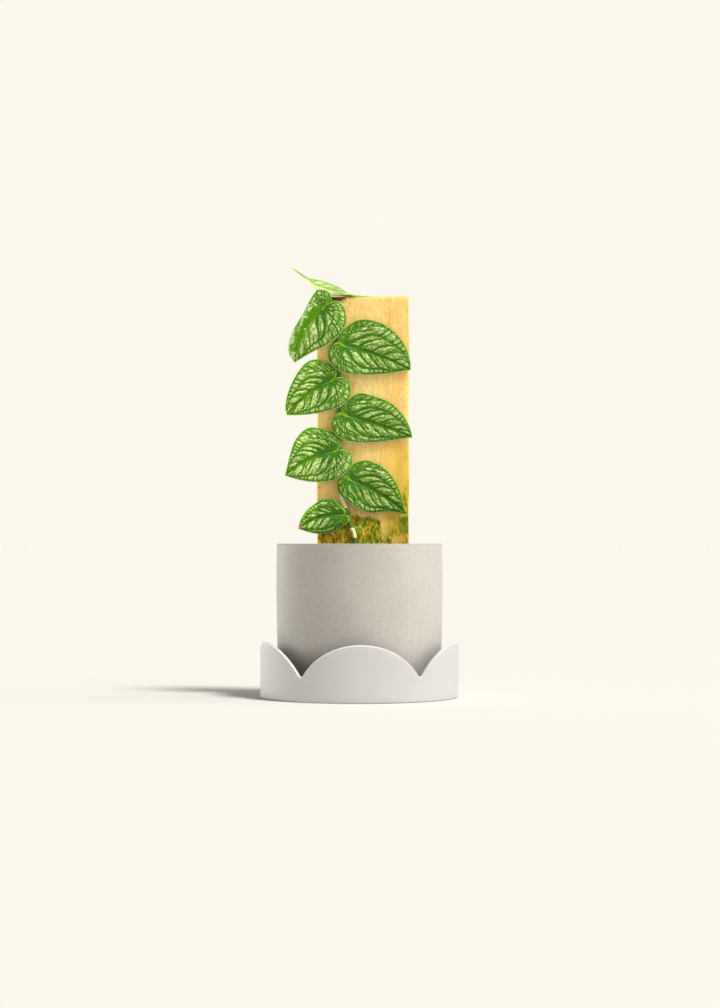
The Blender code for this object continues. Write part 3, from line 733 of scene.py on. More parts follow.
def stoneware_finish():
    """Matt grey-beige stoneware, grained all over, with painted shade on the rim's lit top edge and low
    down in the saucer, deepest on the left.
    """
    shade = Shade("stoneware")
    x, _, z = shade.axes()
    cloud = shade.noise(18, 4).ease(0.3, 0.7)
    grain = shade.noise(800, 3, 0.8)
    # Painted shade on the rim's top edge, dimming its highlight from the key light
    painted_rim_shade = z.ease(RIM - 1.3 * MM, RIM - 0.5 * MM, 0.0, 0.7)
    # Painted shade low on the pot inside the saucer, where little light reaches, strongest on the left
    painted_saucer_shade = z.ease(POT_BOTTOM + 52 * MM, POT_BOTTOM + 17 * MM, 0.0, 0.75)
    tone = shade.layers(
        shade.mix(cloud, (0.445, 0.423, 0.384), (0.485, 0.461, 0.420)),
        (grain.ease(0.52, 0.66, 0.0, 0.5), (0.31, 0.288, 0.248)),
        (grain.ease(0.46, 0.32, 0.0, 0.4), (0.72, 0.68, 0.61)),
        (painted_rim_shade, (0.275, 0.255, 0.220)),
        (painted_saucer_shade * x.ease(0.0, 0.045, 1.0, 0.35), (0.066, 0.053, 0.028)),
    )
    shade.bump(grain + shade.noise(500), 0.25, 0.3 * MM)
    return shade.finish(tone, grain.ease(0.3, 0.7, 0.62, 0.74), Specular_IOR_Level=0.35)


# Soil

def inside_plank(x, y, margin):
    """True for points in millimetres nearer than the margin to the plank's footprint."""
    near_x = abs(x - PLANK_OFFSET) < PLANK_WIDTH / 2 + margin
    return near_x and PLANK_FRONT - margin < y < PLANK_BACK + margin


def soil_height(x, y):
    """Height of the soil, in metres, for a place in metres."""
    spot = Vector((x, y, 0))
    lump = noise.fractal(spot * 75, 0.8, 2.2, 3)
    crumb = noise.fractal(spot * 420 + Vector((3, 1, 7)), 0.9, 2.1, 4)
    return SOIL_TOP - 1.2 * MM + 2.2 * MM * lump + 1.1 * MM * crumb


def soil():
    """A crumbly bed that reaches down to the pot's floor."""
    radius = POT_RADIUS - POT_WALL - SOIL_CLEARANCE
    bottom = POT_BOTTOM + POT_FLOOR + GAP * MM
    rings = [(radius * (i / SOIL_RINGS) ** 0.9, 0.5 * (i % 2), None) for i in range(1, SOIL_RINGS + 1)]
    rings += [(radius - 0.4 * MM, 0, bottom + 5 * MM), (radius - 5 * MM, 0, bottom)]
    points = []
    for reach, turn, level in rings:
        for j in range(SOIL_SIDES):
            angle = 2 * math.pi * (j + turn) / SOIL_SIDES
            x, y = reach * math.cos(angle), reach * math.sin(angle)
            points.append((x, y, soil_height(x, y) if level is None else level))
    middle = len(points)
    points += [(0, 0, soil_height(0, 0)), (0, 0, bottom)]
    faces = ring_faces(len(rings), SOIL_SIDES)
    faces += fan(0, SOIL_SIDES, middle) + fan(middle - SOIL_SIDES, SOIL_SIDES, middle + 1)
    add_piece("soil_bed", points, faces, soil_finish(), ["soil"])


def soil_finish():
    """Dark potting mix with paler fibres in it."""
    shade = Shade("soil")
    crumb = shade.noise(700, 4, 0.65)
    fibre = shade.noise(160, stretch=(1, 5, 2)).ease(0.6, 0.7, 0.0, 0.5)
    tone = shade.layers(
        shade.mix(crumb.ease(0.35, 0.7), (0.022, 0.014, 0.009), (0.085, 0.055, 0.034)),
        (fibre, (0.16, 0.10, 0.05)),
    )
    shade.bump(shade.noise(1300), 0.6, 0.5 * MM)
    return shade.finish(tone, crumb.ease(0.3, 0.7, 0.8, 0.98), Specular_IOR_Level=0.25)


def lump(rng, radii, roughness):
    """Points and faces of one crumb: a ball stretched, turned and knocked out of true."""
    bm = bmesh.new()
    bmesh.ops.create_icosphere(bm, subdivisions=2, radius=1)
    turn = Vector(rng.normal(size=3)).normalized().to_track_quat("Z", "Y")
    points = []
    for vert in bm.verts:
        spot = vert.co * 1.6 + Vector(rng.uniform(0, 0.02, 3)) + turn.axis * 9
        knock = 1 + roughness * noise.noise(spot)
        points.append(turn @ Vector([c * r * knock for c, r in zip(vert.co, radii)]))
    faces = [tuple(vert.index for vert in face.verts) for face in bm.faces]
    bm.free()
    return np.array(points), faces


def free_spots(rng, count, margin, reach):
    """Random places on the soil, in millimetres, clear of the plank, the vine and the pot."""
    found = []
    while len(found) < count:
        angle, radius = rng.uniform(0, 2 * math.pi), reach * math.sqrt(rng.uniform())
        x, y = radius * math.cos(angle), radius * math.sin(angle)
        clear_of_vine = math.hypot(x - VINE_ROUTE[0][0], y + 0.4) > margin + 2.5
        if clear_of_vine and not inside_plank(x, y, margin):
            found.append((x, y))
    return found


def on_soil(x, y, lift):
    """A place on the soil or over it, all in millimetres."""
    return x, y, soil_height(x * MM, y * MM) / MM + lift


def bark_chips(rng):
    heap = Heap()
    for x, y in free_spots(rng, 330, 4.5, 68):
        size = rng.uniform(1.6, 4.6)
        radii = (size, size * rng.uniform(0.45, 0.8), size * rng.uniform(0.25, 0.5))
        points, faces = lump(rng, radii, 0.55)
        heap.add(points + on_soil(x, y, radii[2] * 0.35), faces, tint=rng.uniform())
    heap.piece("bark_chips", bark_finish(), "soil", sharp=35)


def perlite(rng):
    heap = Heap()
    for x, y in free_spots(rng, 150, 2.6, 70):
        size = rng.uniform(0.7, 1.9)
        points, faces = lump(rng, (size, size * rng.uniform(0.7, 1), size * 0.8), 0.35)
        heap.add(points + on_soil(x, y, size * 0.45), faces)
    heap.piece("perlite", perlite_finish(), "soil")


def dry_fibres(rng):
    """Short bent fibres, highest in their middle."""
    heap = Heap()
    for x, y in free_spots(rng, 60, 8, 62):
        turn = rng.uniform(0, math.pi)
        reach = rng.uniform(4, 8)
        route = []
        for share, lift in zip(np.linspace(-1, 1, 5), (0.4, 1.2, 1.5, 1.0, 0.2)):
            spot_x = x + math.cos(turn) * reach * share * 0.9 + rng.normal() * 0.5
            spot_y = y + math.sin(turn) * reach * share * 0.9 + rng.normal() * 0.5
            route.append(on_soil(spot_x, spot_y, lift))
        heap.add(*tube(curve_through(route, 4), rng.uniform(0.18, 0.32), 6))
    heap.piece("dry_fibres", fibre_finish(), "soil")


def bark_finish():
    """Furrowed bark, each chip its own brown."""
    shade = Shade("bark")
    grain = shade.noise(300, 4, 0.7, stretch=(1, 1, 6))
    tone = shade.layers(
        shade.mix(shade.mark("tint"), (0.075, 0.040, 0.022), (0.20, 0.105, 0.05)),
        (grain.ease(0.4, 0.65, 0.0, 0.75), (0.03, 0.018, 0.011)),
    )
    shade.bump(grain, 0.7, 0.6 * MM)
    return shade.finish(tone, grain.ease(0.3, 0.7, 0.75, 0.92), Specular_IOR_Level=0.3)


def perlite_finish():
    """White, with dull pores."""
    shade = Shade("perlite")
    pores = shade.noise(1600, 3, 0.7)
    tone = shade.mix(pores.ease(0.45, 0.65), (0.72, 0.70, 0.64), (0.45, 0.42, 0.36))
    shade.bump(pores, 0.8, 0.3 * MM)
    return shade.finish(tone, pores.ease(0.3, 0.7, 0.85, 0.95))


def fibre_finish():
    shade = Shade("fibre")
    grain = shade.noise(900, 2)
    tone = shade.mix(grain, (0.16, 0.09, 0.04), (0.36, 0.23, 0.12))
    return shade.finish(tone, grain.ease(0.3, 0.7, 0.7, 0.9))


# Plank

def plank_edge(z, seed):
    """How far a sawn edge wanders at a height, in millimetres, and not at all under the soil."""
    steady = np.clip((z - GROUND) / 20, 0, 1)
    drift = np.sin(z * 0.052 + seed) + 0.6 * np.sin(z * 0.131 + 2.3 * seed)
    return PLANK_WAVE * 0.6 * drift * steady


def plank_outline():
    """Shares round the board's section: ((x share, y share), outward normal)."""
    spots = []
    for start, end, side in ((0, 1, -1), (1, 0, 1)):
        for share in np.linspace(start, end, PLANK_COLUMNS, endpoint=False):
            spots.append(((share, float(side > 0)), (0, side)))
        for share in np.linspace(start, end, PLANK_FLANK_COLUMNS, endpoint=False):
            spots.append(((float(side < 0), share), (-side, 0)))
    return spots


def grain_relief(u, z, seed):
    """Relief of sawn wood, in millimetres, at u across and z along the grain, both in millimetres."""
    fibre = noise.noise(Vector((u * 1.35, z * 0.035, seed)))
    fine = noise.noise(Vector((u * 3.1, z * 0.16, seed + 5)))
    saw = math.sin((z + 0.04 * u + 1.2 * noise.noise(Vector((u * 0.05, z * 0.05, seed)))) * 2.6)
    tear = max(noise.noise(Vector((u * 0.8, z * 0.09, seed + 9))) - 0.45, 0)
    return 0.10 * fibre + 0.05 * fine + 0.025 * saw - 0.5 * tear


def end_relief(x, y):
    """How far the open end grain lies under the board's top, in millimetres."""
    rough = noise.noise(Vector((x * 0.5, y * 1.2, 4)))
    wobble = noise.noise(Vector((x * 0.05, y * 0.1, 1)))
    ring = math.sin(y * 1.9 + 0.002 * (x - 20) ** 2 + 1.5 * wobble)
    return min(0.12 * rough + 0.06 * ring - 0.12, 0)


def plank_spot(shares, normal, low, high, z, inset):
    """A point of the board's skin, between the corners low and high of its section.

    inset is 0 on the board's sides, and grows towards the middle on its two ends.
    """
    spot = [a + (b - a) * share for a, b, share in zip(low, high, shares)]
    face = 1 if normal[1] else 0
    side = 1 - face
    to_corner = min(spot[side] - low[side], high[side] - spot[side])
    cut = max(0, PLANK_ARRIS - to_corner)
    spot[face] -= normal[face] * 0.45 * cut * cut / PLANK_ARRIS
    on_end = inset > 0
    if z > GROUND - 5 and not on_end:
        push = grain_relief(spot[side], z, 2 + normal[0] * 3 + normal[1] * 7) - 0.22
        chip = max(0, noise.noise(Vector((z * 0.35, shares[0] * 4, shares[1] * 4))) - 0.25)
        push -= 1.3 * chip * max(0, 1 - to_corner / 1.6)
        spot[face] += normal[face] * push
    if not on_end:
        inset = PLANK_ARRIS * 0.6 * max(0, 1 - (PLANK_TOP - z) / 1.4) ** 2
    spot[face] -= normal[face] * inset
    spot[side] = min(max(spot[side], low[side] + inset), high[side] - inset)
    rise = end_relief(*spot) if on_end and z > GROUND else 0
    return (*spot, z + rise)


def plank():
    """A rough-sawn board with eased, slightly chipped arrises and an open end grain."""
    outline = plank_outline()
    buried = np.linspace(PLANK_BOTTOM, GROUND - 8, 6)
    shown = np.linspace(GROUND - 6, PLANK_TOP, PLANK_ROWS)
    levels = [(PLANK_BOTTOM, inset) for inset in PLANK_END_INSETS[::-1]]
    levels += [(z, 0.0) for z in (*buried, *shown)]
    levels += [(PLANK_TOP, inset) for inset in PLANK_END_INSETS]
    points = []
    for z, inset in levels:
        low = (PLANK_LEFT + plank_edge(z, 0.4), PLANK_FRONT)
        high = (PLANK_RIGHT + plank_edge(z, 2.9), PLANK_BACK)
        points += [plank_spot(shares, normal, low, high, z, inset) for shares, normal in outline]
    faces = ring_faces(len(levels), len(outline))
    flank = np.tile([abs(normal[0]) for _, normal in outline], len(levels))
    end = np.repeat([1.0 if inset else 0.0 for _, inset in levels], len(outline))
    made = add_piece("plank_sawn", np.array(points) * MM, faces, wood_finish(), ["plank"],
                     dict(flank=flank, end=end), sharp=55)
    bm = bmesh.new()
    bm.from_mesh(made.data)
    bmesh.ops.remove_doubles(bm, verts=bm.verts, dist=0.004 * MM)
    bm.to_mesh(made.data)
    bm.free()


def wood_finish():
    """Warm sawn softwood, stained by algae near the soil and at its top corner."""
    shade = Shade("sawn_wood")
    x, y, z = shade.axes()
    front = y.ease((PLANK_FRONT + 1.0) * MM, (PLANK_FRONT + 0.6) * MM)
    fibre = shade.noise(1, 4, 0.6, stretch=(900, 900, 26))
    bands = shade.noise(1, 3, 0.5, stretch=(130, 130, 5), distortion=0.3)
    blush = shade.noise(1, 3, 0.6, stretch=(110, 110, 60))
    streak = shade.noise(1, 2, stretch=(320, 320, 12))
    saw = shade.noise(1, 2, stretch=(25, 25, 620))
    fleck = shade.noise(260)
    dust = shade.noise(1, 4, 0.75, stretch=(640, 640, 240))
    rings = shade.noise(1, 2, stretch=(8, 240, 8), distortion=0.4)
    wood = shade.layers(
        shade.mix(bands.ease(0.3, 0.7), (1.0, 0.755, 0.30), (0.97, 0.65, 0.195)),
        (blush.ease(0.5, 0.75, 0.0, 0.55), (1.0, 0.53, 0.17)),
        (fibre.ease(0.5, 0.72, 0.0, 0.6), (0.86, 0.47, 0.10)),
        (fibre.ease(0.48, 0.3, 0.0, 0.45), (1.0, 0.86, 0.44)),
        (streak.ease(0.62, 0.72, 0.0, 0.6), (0.90, 0.38, 0.10)),
        (saw.ease(0.55, 0.8, 0.0, 0.18), (0.82, 0.45, 0.12)),
        (fleck.ease(0.66, 0.74, 0.0, 0.8), (0.72, 0.25, 0.06)),
        (dust.ease(0.52, 0.64, 0.0, 0.6), (0.90, 0.47, 0.11)),
        (dust.ease(0.48, 0.36, 0.0, 0.5), (1.0, 0.90, 0.50)),
    )
    end_grain = shade.mix(rings.ease(0.45, 0.55), (0.62, 0.43, 0.20), (0.42, 0.26, 0.10))
    wood = shade.mix(shade.mark("end"), wood, end_grain)
    wood = shade.mix(shade.mark("flank") * 0.42, wood, (0.30, 0.17, 0.055))
    wood = algae(shade, wood, x, z, front)
    wood = corner_stain(shade, wood, x, z, front)
    top = z.ease((PLANK_TOP - 1.8) * MM, (PLANK_TOP - 0.2) * MM, 0.0, 0.45)
    wood = shade.mix(top * front, wood, (0.62, 0.40, 0.05))
    shade.bump(fibre + saw * 0.5, 0.5, 0.35 * MM)
    return shade.finish(wood, fibre.ease(0.3, 0.7, 0.72, 0.86), Subsurface_Weight=0.8,
                        Subsurface_Scale=8 * MM, Subsurface_Radius=(1.0, 0.7, 0.3),
                        Specular_IOR_Level=0.1)


def bare_patch(across, level):
    """A round place on the right where the wood shows through the algae."""
    x, z, half_width, half_height = (value * MM for value in BARE_PATCH)
    around = ((across - x) / half_width) ** 2.0 + ((level - z) / half_height) ** 2.0
    return around.ease(1.2, 0.6, 0.0, 0.85)


def green_strip(x, z, fine):
    """A frayed strip of dark growth along the board's right edge."""
    edge, low, high = (value * MM for value in GREEN_STRIP)
    soft = 1 * MM
    frayed = (fine - 0.5) * 0.008
    height = z + frayed
    strip = (x + frayed).ease(edge - soft, edge + soft)
    return strip * height.ease(low - soft, low + soft) * height.ease(high + soft, high - soft)


def algae(shade, wood, x, z, front):
    """Green and brown growth, low on the board and up its right edge, thinner behind."""
    blot = shade.noise(75, 5, 0.62, stretch=(1, 1, 0.6))
    fine = shade.noise(520, 4, 0.7, stretch=(1, 1, 0.5))
    streak = shade.noise(1, 4, 0.75, stretch=(620, 620, 220))
    rough = blot * 0.9 + fine * 0.35
    sway = shade.noise(70, 4, 0.6) - 0.5
    level = z + sway * front.ease(0.0, 1.0, 0.075, 0.04) + front.ease(0.0, 1.0, 0.012, 0.0)
    across = x + sway * 0.02
    patch = bare_patch(across, level)
    gold = across.ease(0.0175, 0.023) * across.ease(0.034, 0.027)
    bare = (gold * 0.36).most(patch) * front
    thinned = across.ease(0.024, 0.031, 0.0, 0.42) * front
    low = level.ease(0.160, 0.192, 1.0, 0.0) - bare.most(thinned)
    right_side = across.ease(0.030, 0.044) * z.ease(0.185, 0.255, 0.62, 0.1)
    left_side = x.ease(-0.026, -0.041) * z.ease(0.19, 0.26, 0.55, 0.0)
    spread = low.most(right_side.most(left_side) * front)
    amount = (rough + spread).ease(1.05, 1.4, 0.0, 0.97) * front.ease(0.0, 1.0, 0.75, 1.0)
    strip = green_strip(x, z, fine) * front
    hue = shade.noise(100) + x.ease(-0.008, 0.0, -0.10, 0.09)
    growth = shade.layers(
        shade.mix(hue.ease(0.44, 0.56), (0.64, 0.44, 0.028), (0.28, 0.35, 0.001)),
        (streak.ease(0.51, 0.58, 0.0, 0.92), (0.105, 0.110, 0.001)),
        (streak.ease(0.46, 0.38, 0.0, 0.9), (1.0, 0.84, 0.10)),
        (strip * 0.7, (0.16, 0.23, 0.001)),
    )
    haze = x.ease(0.012, 0.034) * z.ease(0.28, 0.20, 0.0, 0.6)
    tint = across.ease(0.030, 0.042) * level.ease(0.262, 0.232, 0.0, 0.6) * rough.ease(0.5, 0.72, 0.4, 1.0)
    olive = x.ease(0.024, 0.030) * z.ease(0.182, 0.170, 0.0, 0.75)
    stripes = shade.mix(streak.ease(0.44, 0.56), (0.80, 0.60, 0.07), (0.40, 0.36, 0.01))
    return shade.layers(
        wood,
        (haze * front, (0.84, 0.60, 0.06)),
        (tint * front, (0.56, 0.43, 0.02)),
        ((olive - patch) * front, stripes),
        (amount.most(strip * 0.95), growth),
    )


def corner_stain(shade, wood, x, z, front):
    """A brown stain under the board's top edge on the left, breaking up into specks."""
    corner = z.ease((PLANK_TOP - 12) * MM, (PLANK_TOP - 1) * MM) * x.ease(-0.003, -0.018)
    line = z.ease((PLANK_TOP - 3.5) * MM, (PLANK_TOP - 1) * MM) * x.ease(0.008, -0.018)
    reach = corner.most(line) * front.ease(0.0, 1.0, 0.35, 1.0)
    speck = shade.noise(640, 3, 0.75, stretch=(1, 1, 0.7))
    dark = (speck + reach * 0.5).ease(0.76, 0.88, 0.0, 0.92)
    stain = shade.mix(reach.ease(0.4, 0.9), (0.30, 0.20, 0.015), (0.045, 0.028, 0.003))
    return shade.mix(dark, wood, stain)


# Vine

def on_plank(x, z, height):
    """Points in millimetres, from x across, z up and a height off the plank's front."""
    return np.column_stack(np.broadcast_arrays(x, PLANK_FRONT - height, z))


def vine_x(z):
    """The vine's place across the plank at a height."""
    route = np.array(VINE_ROUTE)
    return np.interp(z, route[:, 1], route[:, 0])


def pale_share(z):
    """1 in the stem's pale sheaths and 0 between them."""
    share = np.zeros(len(z))
    for low, high in PALE_SHEATHS:
        inside = np.clip((z - low) / 0.8 + 0.5, 0, 1) * np.clip((high - z) / 1.4 + 0.5, 0, 1)
        share = np.maximum(share, inside)
    return share


def add_roots(heap):
    """Short roots beside the upper nodes, flat on the wood under the leaves."""
    steps = np.arange(4)
    along = ROOT_LENGTH * steps / 3
    height = np.maximum(VINE_OFF_PLANK - 0.6 * steps, GAP + ROOT_RADIUS + 0.1)
    for i, spec in enumerate(LEAVES.values()):
        base = spec["node"] + ROOT_ABOVE_NODE
        if base < ROOTS_ABOVE:
            continue
        side = math.copysign(1, spec["joint"][0] - vine_x(base))
        for turn in (0.6, 1.2):
            bend = turn + 0.2 * np.sin(steps * 1.3 + i)
            x = vine_x(base) + side * along * np.cos(bend)
            path = curve_through(on_plank(x, base + along * np.sin(bend), height), 5)
            heap.add(*tube(path, np.linspace(ROOT_RADIUS, 0.6 * ROOT_RADIUS, len(path)), 8), root=1.0)


def vine():
    """The stem with swollen nodes, pale sheaths, an old stub, and roots that grip the wood."""
    heap = Heap()
    x, z = curve_through(VINE_ROUTE, 14).T
    nodes = np.array([spec["node"] for spec in LEAVES.values()] + [BUD_JOINT[1]])
    near = np.abs(z[:, None] - nodes[None, :]).min(axis=1)
    swell = np.clip(1 - (near / NODE_REACH) ** 2, 0, 1)
    radii = VINE_RADIUS + (NODE_RADIUS - VINE_RADIUS) * swell + SHEATH_SWELL * pale_share(z)
    points, faces = tube(on_plank(x, z, VINE_OFF_PLANK), radii, 20)
    heap.add(points, faces, pale=pale_share(points[:, 2]))
    stub = curve_through([(x, PLANK_FRONT - VINE_OFF_PLANK - 0.5, z) for x, z in STUB], 6)
    points, faces = tube(stub, np.linspace(STUB_RADIUS, STUB_RADIUS * 0.85, len(stub)), 16)
    heap.add(points, faces, tip=np.clip(points[:, 2] - STUB_TIP, 0, 1))
    add_roots(heap)
    heap.piece("vine_stem", stem_finish(), "vine", ["vine"])


def stem_finish():
    """Ridged green, cream on the sheaths and brown on the roots."""
    shade = Shade("stem")
    ridges = shade.noise(1, stretch=(1400, 1400, 60))
    green = shade.mix(ridges, (0.035, 0.135, 0.018), (0.11, 0.27, 0.03))
    cream = shade.mix(ridges, (0.92, 0.96, 0.42), (1.0, 1.0, 0.70))
    sheath = (shade.mark("pale") + shade.noise(900) * 0.3).ease(0.5, 0.8)
    tone = shade.layers(
        green,
        (sheath, cream),
        (shade.mark("tip"), (0.45, 0.52, 0.25)),
        (shade.mark("root"), (0.30, 0.22, 0.10)),
    )
    shade.bump(ridges, 0.5, 0.3 * MM)
    return shade.finish(tone, ridges.ease(0.3, 0.7, 0.42, 0.6), Subsurface_Weight=0.2,
                        Subsurface_Scale=0.8 * MM)


# Leaves

def between(wanted, places, values):
    """Rows of values at the wanted places, from rows of values at known places."""
    return np.column_stack([np.interp(wanted, places, column) for column in values.T])


class HalfBlade:
    """Rows of one half of a blade, each from the midrib to the edge.

    row is -1 at the notch, 0 where the lobe ends and 1 at the tip.
    """

    def __init__(self, points, arch, tip, bow, stations, lobe_rows):
        self.arch = arch
        self.tip = tip
        self.bow = bow
        edge = curve_through([NOTCH, *points, (tip, 0)], 24)
        bend = self.bow_at(np.clip(edge[:, 0], 0, None))
        feet = edge[:, 0] - SLANT * np.abs(edge[:, 1] - bend)
        split = int(np.nonzero(feet <= 0)[0].max())
        spans = np.linalg.norm(np.diff(edge[:split + 1], axis=0), axis=1)
        walked = np.concatenate([[0], np.cumsum(spans)])
        steps = np.arange(lobe_rows + 1)
        lobe = between(walked[-1] * steps / lobe_rows, walked, edge[:split + 1])
        foot = tip * np.arange(1, stations) / stations
        rest = between(foot, np.maximum.accumulate(feet[split:]), edge[split:])
        self.edge = np.vstack([lobe, rest])
        self.row = np.concatenate([steps / lobe_rows - 1, foot / tip])
        along = np.concatenate([np.zeros(lobe_rows + 1), foot])
        self.root = np.column_stack([along, self.bow_at(along)])

    def bow_at(self, along):
        return self.bow * 4 * along * (self.tip - along) / (self.tip * self.tip)

    def spot(self, row, share):
        """The place (along, across) of points given by row and share."""
        rows = np.append(self.row, 1.0)
        root = between(row, rows, np.vstack([self.root, (self.tip, 0)]))
        edge = between(row, rows, np.vstack([self.edge, (self.tip, 0)]))
        return root + (edge - root) * np.asarray(share)[:, None]


def distance_to(points, line, widths=None):
    """Least distance from each point to a line of segments, less the line's half width there."""
    a, b = line[:-1], line[1:]
    step = b - a
    length = np.maximum((step ** 2).sum(axis=1), 1e-9)
    offset = points[:, None, :] - a[None, :, :]
    t = np.clip((offset * step[None, :, :]).sum(axis=2) / length[None, :], 0, 1)
    gap = np.linalg.norm(offset - t[:, :, None] * step[None, :, :], axis=2)
    if widths is not None:
        gap = gap - (widths[:-1][None, :] * (1 - t) + widths[1:][None, :] * t)
    return gap.min(axis=1)


def half_veins(half, rng):
    """Veins of half a blade as (line, half widths): the strong ones, then the fine ones."""
    strong, fine = [], []
    level = half.arch

    def draw(store, stops, start, end, fade=0.6):
        route = curve_through(stops, 6)
        line = half.spot(route[:, 0], np.clip(route[:, 1], 0, 1))
        share = np.linspace(0, 1, len(route))
        wobble = np.array([noise.noise_vector(Vector((x * 0.2, y * 0.2, 7))) for x, y in line])
        widths = start + (end - start) * share ** fade
        store.append((line + 1.1 * wobble[:, :2] * share[:, None], widths))

    def jitter(size):
        return rng.uniform(-size, size)

    arch = [(0.02, 0.0), (0.07, 0.38 * level), (0.15, 0.78 * level), (0.28, level), (0.48, level + 0.02),
            (0.68, level + 0.06), (0.85, level + 0.13), (0.97, 0.93)]
    draw(strong, arch, *ARCH_HALF_WIDTHS)
    roots = [root + jitter(0.025) for root in SIDE_VEINS[rng.integers(4, 6)]]
    for root in roots:
        lean = SIDE_LEAN * (1 - 0.5 * max(root - 0.3, 0))
        side = [(root, 0.0), (root + 0.26 * lean, 0.3), (root + 0.6 * lean, 0.62 * level + 0.1),
                (root + lean, level)]
        draw(strong, side, SIDE_HALF_WIDTHS[0] * (1.2 - 0.8 * root), SIDE_HALF_WIDTHS[1], 0.5)
        draw(fine, [(root + lean, level), (root + 1.12 * lean + jitter(0.01), 0.95)], 0.3, 0.2)
        fork = root + lean
        draw(fine, [(fork - 0.065, level + 0.02), (fork - 0.05 + jitter(0.01), 0.95)], 0.26, 0.2)
        middle = root + 0.075 + jitter(0.02)
        if rng.uniform() < 0.55:
            draw(fine, [(middle + 0.8 * lean, 0.55 * level + 0.1), (middle + lean, level)], 0.02, 0.22)
        else:
            draw(fine, [(middle, 0.12), (middle + 0.4 * lean, 0.36 + jitter(0.08))], 0.3, 0.02)
    for root in LOBE_VEINS:
        root += jitter(0.04)
        draw(strong, [(root, 0.0), (root, 0.35), (root + 0.02, LOBE_ARCH), (root + 0.05, 0.93)], 1.0, 0.24)
        draw(fine, [(root + 0.1 + jitter(0.02), 0.45 + jitter(0.12)), (root + 0.1, 0.94)], 0.1, 0.24)
    lobe_arch = [(-0.97, 0.6), (-0.75, LOBE_ARCH - 0.03), (-0.5, LOBE_ARCH), (-0.25, LOBE_ARCH + 0.02),
                 (0.0, LOBE_ARCH + 0.05), (0.12, 0.84), (0.24, 0.93)]
    draw(strong, lobe_arch, 0.42, 0.3)
    draw(fine, [(-0.8, 0.42), (-0.5, 0.44), (-0.2, 0.46), (0.02, 0.56), (0.14, 0.72)], 0.05, 0.34)
    draw(fine, [(0.02, 0.56), (-0.02, 0.75), (0.02, 0.94)], 0.3, 0.25)
    draw(fine, [(0.09, 0.6), (0.09, 0.8), (0.12, 0.95)], 0.3, 0.22)
    for row in np.arange(-0.95, 0.96, EDGE_VEIN_STEP):
        draw(fine, [(row + jitter(0.012), 0.93), (row + 0.01, 1.0)], 0.2, 0.2)
    return strong, fine


def blade_fields(spot, row, share, half, seed):
    """What the leaf's finish and relief are drawn from, mostly distances in millimetres."""
    strong, fine = half_veins(half, np.random.default_rng(seed))
    along = np.linspace(0, half.tip, 60)
    midrib = np.column_stack([along, half.bow_at(along)])
    mid_width = 0.7 + 2.1 * np.clip(1 - along / half.tip / 0.9, 0, 1) ** 1.3
    vein = distance_to(spot, midrib, mid_width)
    for line, widths in strong:
        vein = np.minimum(vein, distance_to(spot, line, widths))
    thread = np.full(len(spot), FAR)
    for line, widths in fine:
        thread = np.minimum(thread, distance_to(spot, line, widths))
    rim = distance_to(spot, np.vstack([half.edge, (half.tip, 0)]))
    ones = np.ones(len(row))
    width = np.linalg.norm(half.spot(row, ones) - half.spot(row, 0 * ones), axis=1)
    return {
        "vein": vein,
        "thread": thread,
        "rim": rim,
        "band": rim / np.clip(BORDER * width, *BORDER_RANGE),
        "mid": distance_to(spot, midrib),
        "heart": np.linalg.norm(spot, axis=1),
        "hub": np.linalg.norm((spot - (HUB_AHEAD, 0)) * (0.8, 1), axis=1),
        "flow_u": row * 62 - 14 * share * np.clip(1 + 3 * row, 0, 1) + 0.37 * seed,
        "flow_v": share * 28.0,
    }


def blade_relief(fields):
    """How far the front swells between the veins and sinks on them, in millimetres."""
    calm = smooth(fields["rim"], 0.3, 3.5)
    panel = smooth(fields["vein"], 0.0, 2.4)
    furrow = 1 - smooth(fields["vein"], -0.4, 0.7)
    thread = 1 - smooth(fields["thread"], 0.0, 0.7)
    centre = 1 - smooth(fields["mid"], 0.0, 1.1)
    return calm * (PUFF * panel - VEIN_DEPTH * furrow - THREAD_DEPTH * thread * panel
                   - MIDRIB_DEPTH * centre)


class Skin:
    """The points and marks of a blade, gathered from its front and its back.

    place(along, across, share) gives the middle of the blade's thickness in millimetres.
    """

    def __init__(self, place, out, tip, relief, tail_swell):
        self.place = place
        self.out = np.array(out, float)
        self.tip = tip
        self.relief = relief
        self.tail_swell = tail_swell
        self.points = []
        self.marks = {}
        self.count = 0

    def facing_down(self, half):
        """1 where a half blade's edge looks down, and 0 where it looks up or aside, for each row."""
        ones = np.ones(len(half.row))
        edge = self.place(*half.edge.T, ones)
        root = self.place(*half.root.T, 0 * ones)
        normal = np.cross(np.gradient(edge, axis=0), self.out)
        normal *= np.sign((normal * (edge - root)).sum(axis=1))[:, None]
        return smooth(-normal[:, 2] / np.maximum(np.linalg.norm(normal, axis=1), 1e-9), 0.3, 0.8)

    def add(self, side, half, seed, spot, row, share, low_side=0.0):
        """Add points to a side, 1 for the front or -1 for the back, and give the first's number."""
        fields = blade_fields(spot, row, share, half, seed)
        middle = self.place(spot[:, 0], spot[:, 1], share)
        from_rim = np.clip(fields["rim"] / RIM_ROUND, 0, 1)
        round_off = np.sqrt(np.clip(1 - (1 - from_rim) ** 2, 0, 1))
        tail = smooth(fields["heart"], 0.68 * self.tip, 0.8 * self.tip)
        push = side * (BLADE_THICKNESS + self.tail_swell * tail) / 2 * round_off
        swell = blade_relief(fields) * self.relief * (1 if side > 0 else BACK_RELIEF)
        self.points.append(middle + self.out * (push + swell)[:, None])
        fields.update(past_board=PLANK_LEFT - middle[:, 0], under=float(side < 0), low_side=low_side)
        for label, values in fields.items():
            self.marks.setdefault(label, []).append(np.broadcast_to(values, len(spot)))
        self.count += len(spot)
        return self.count - len(spot)


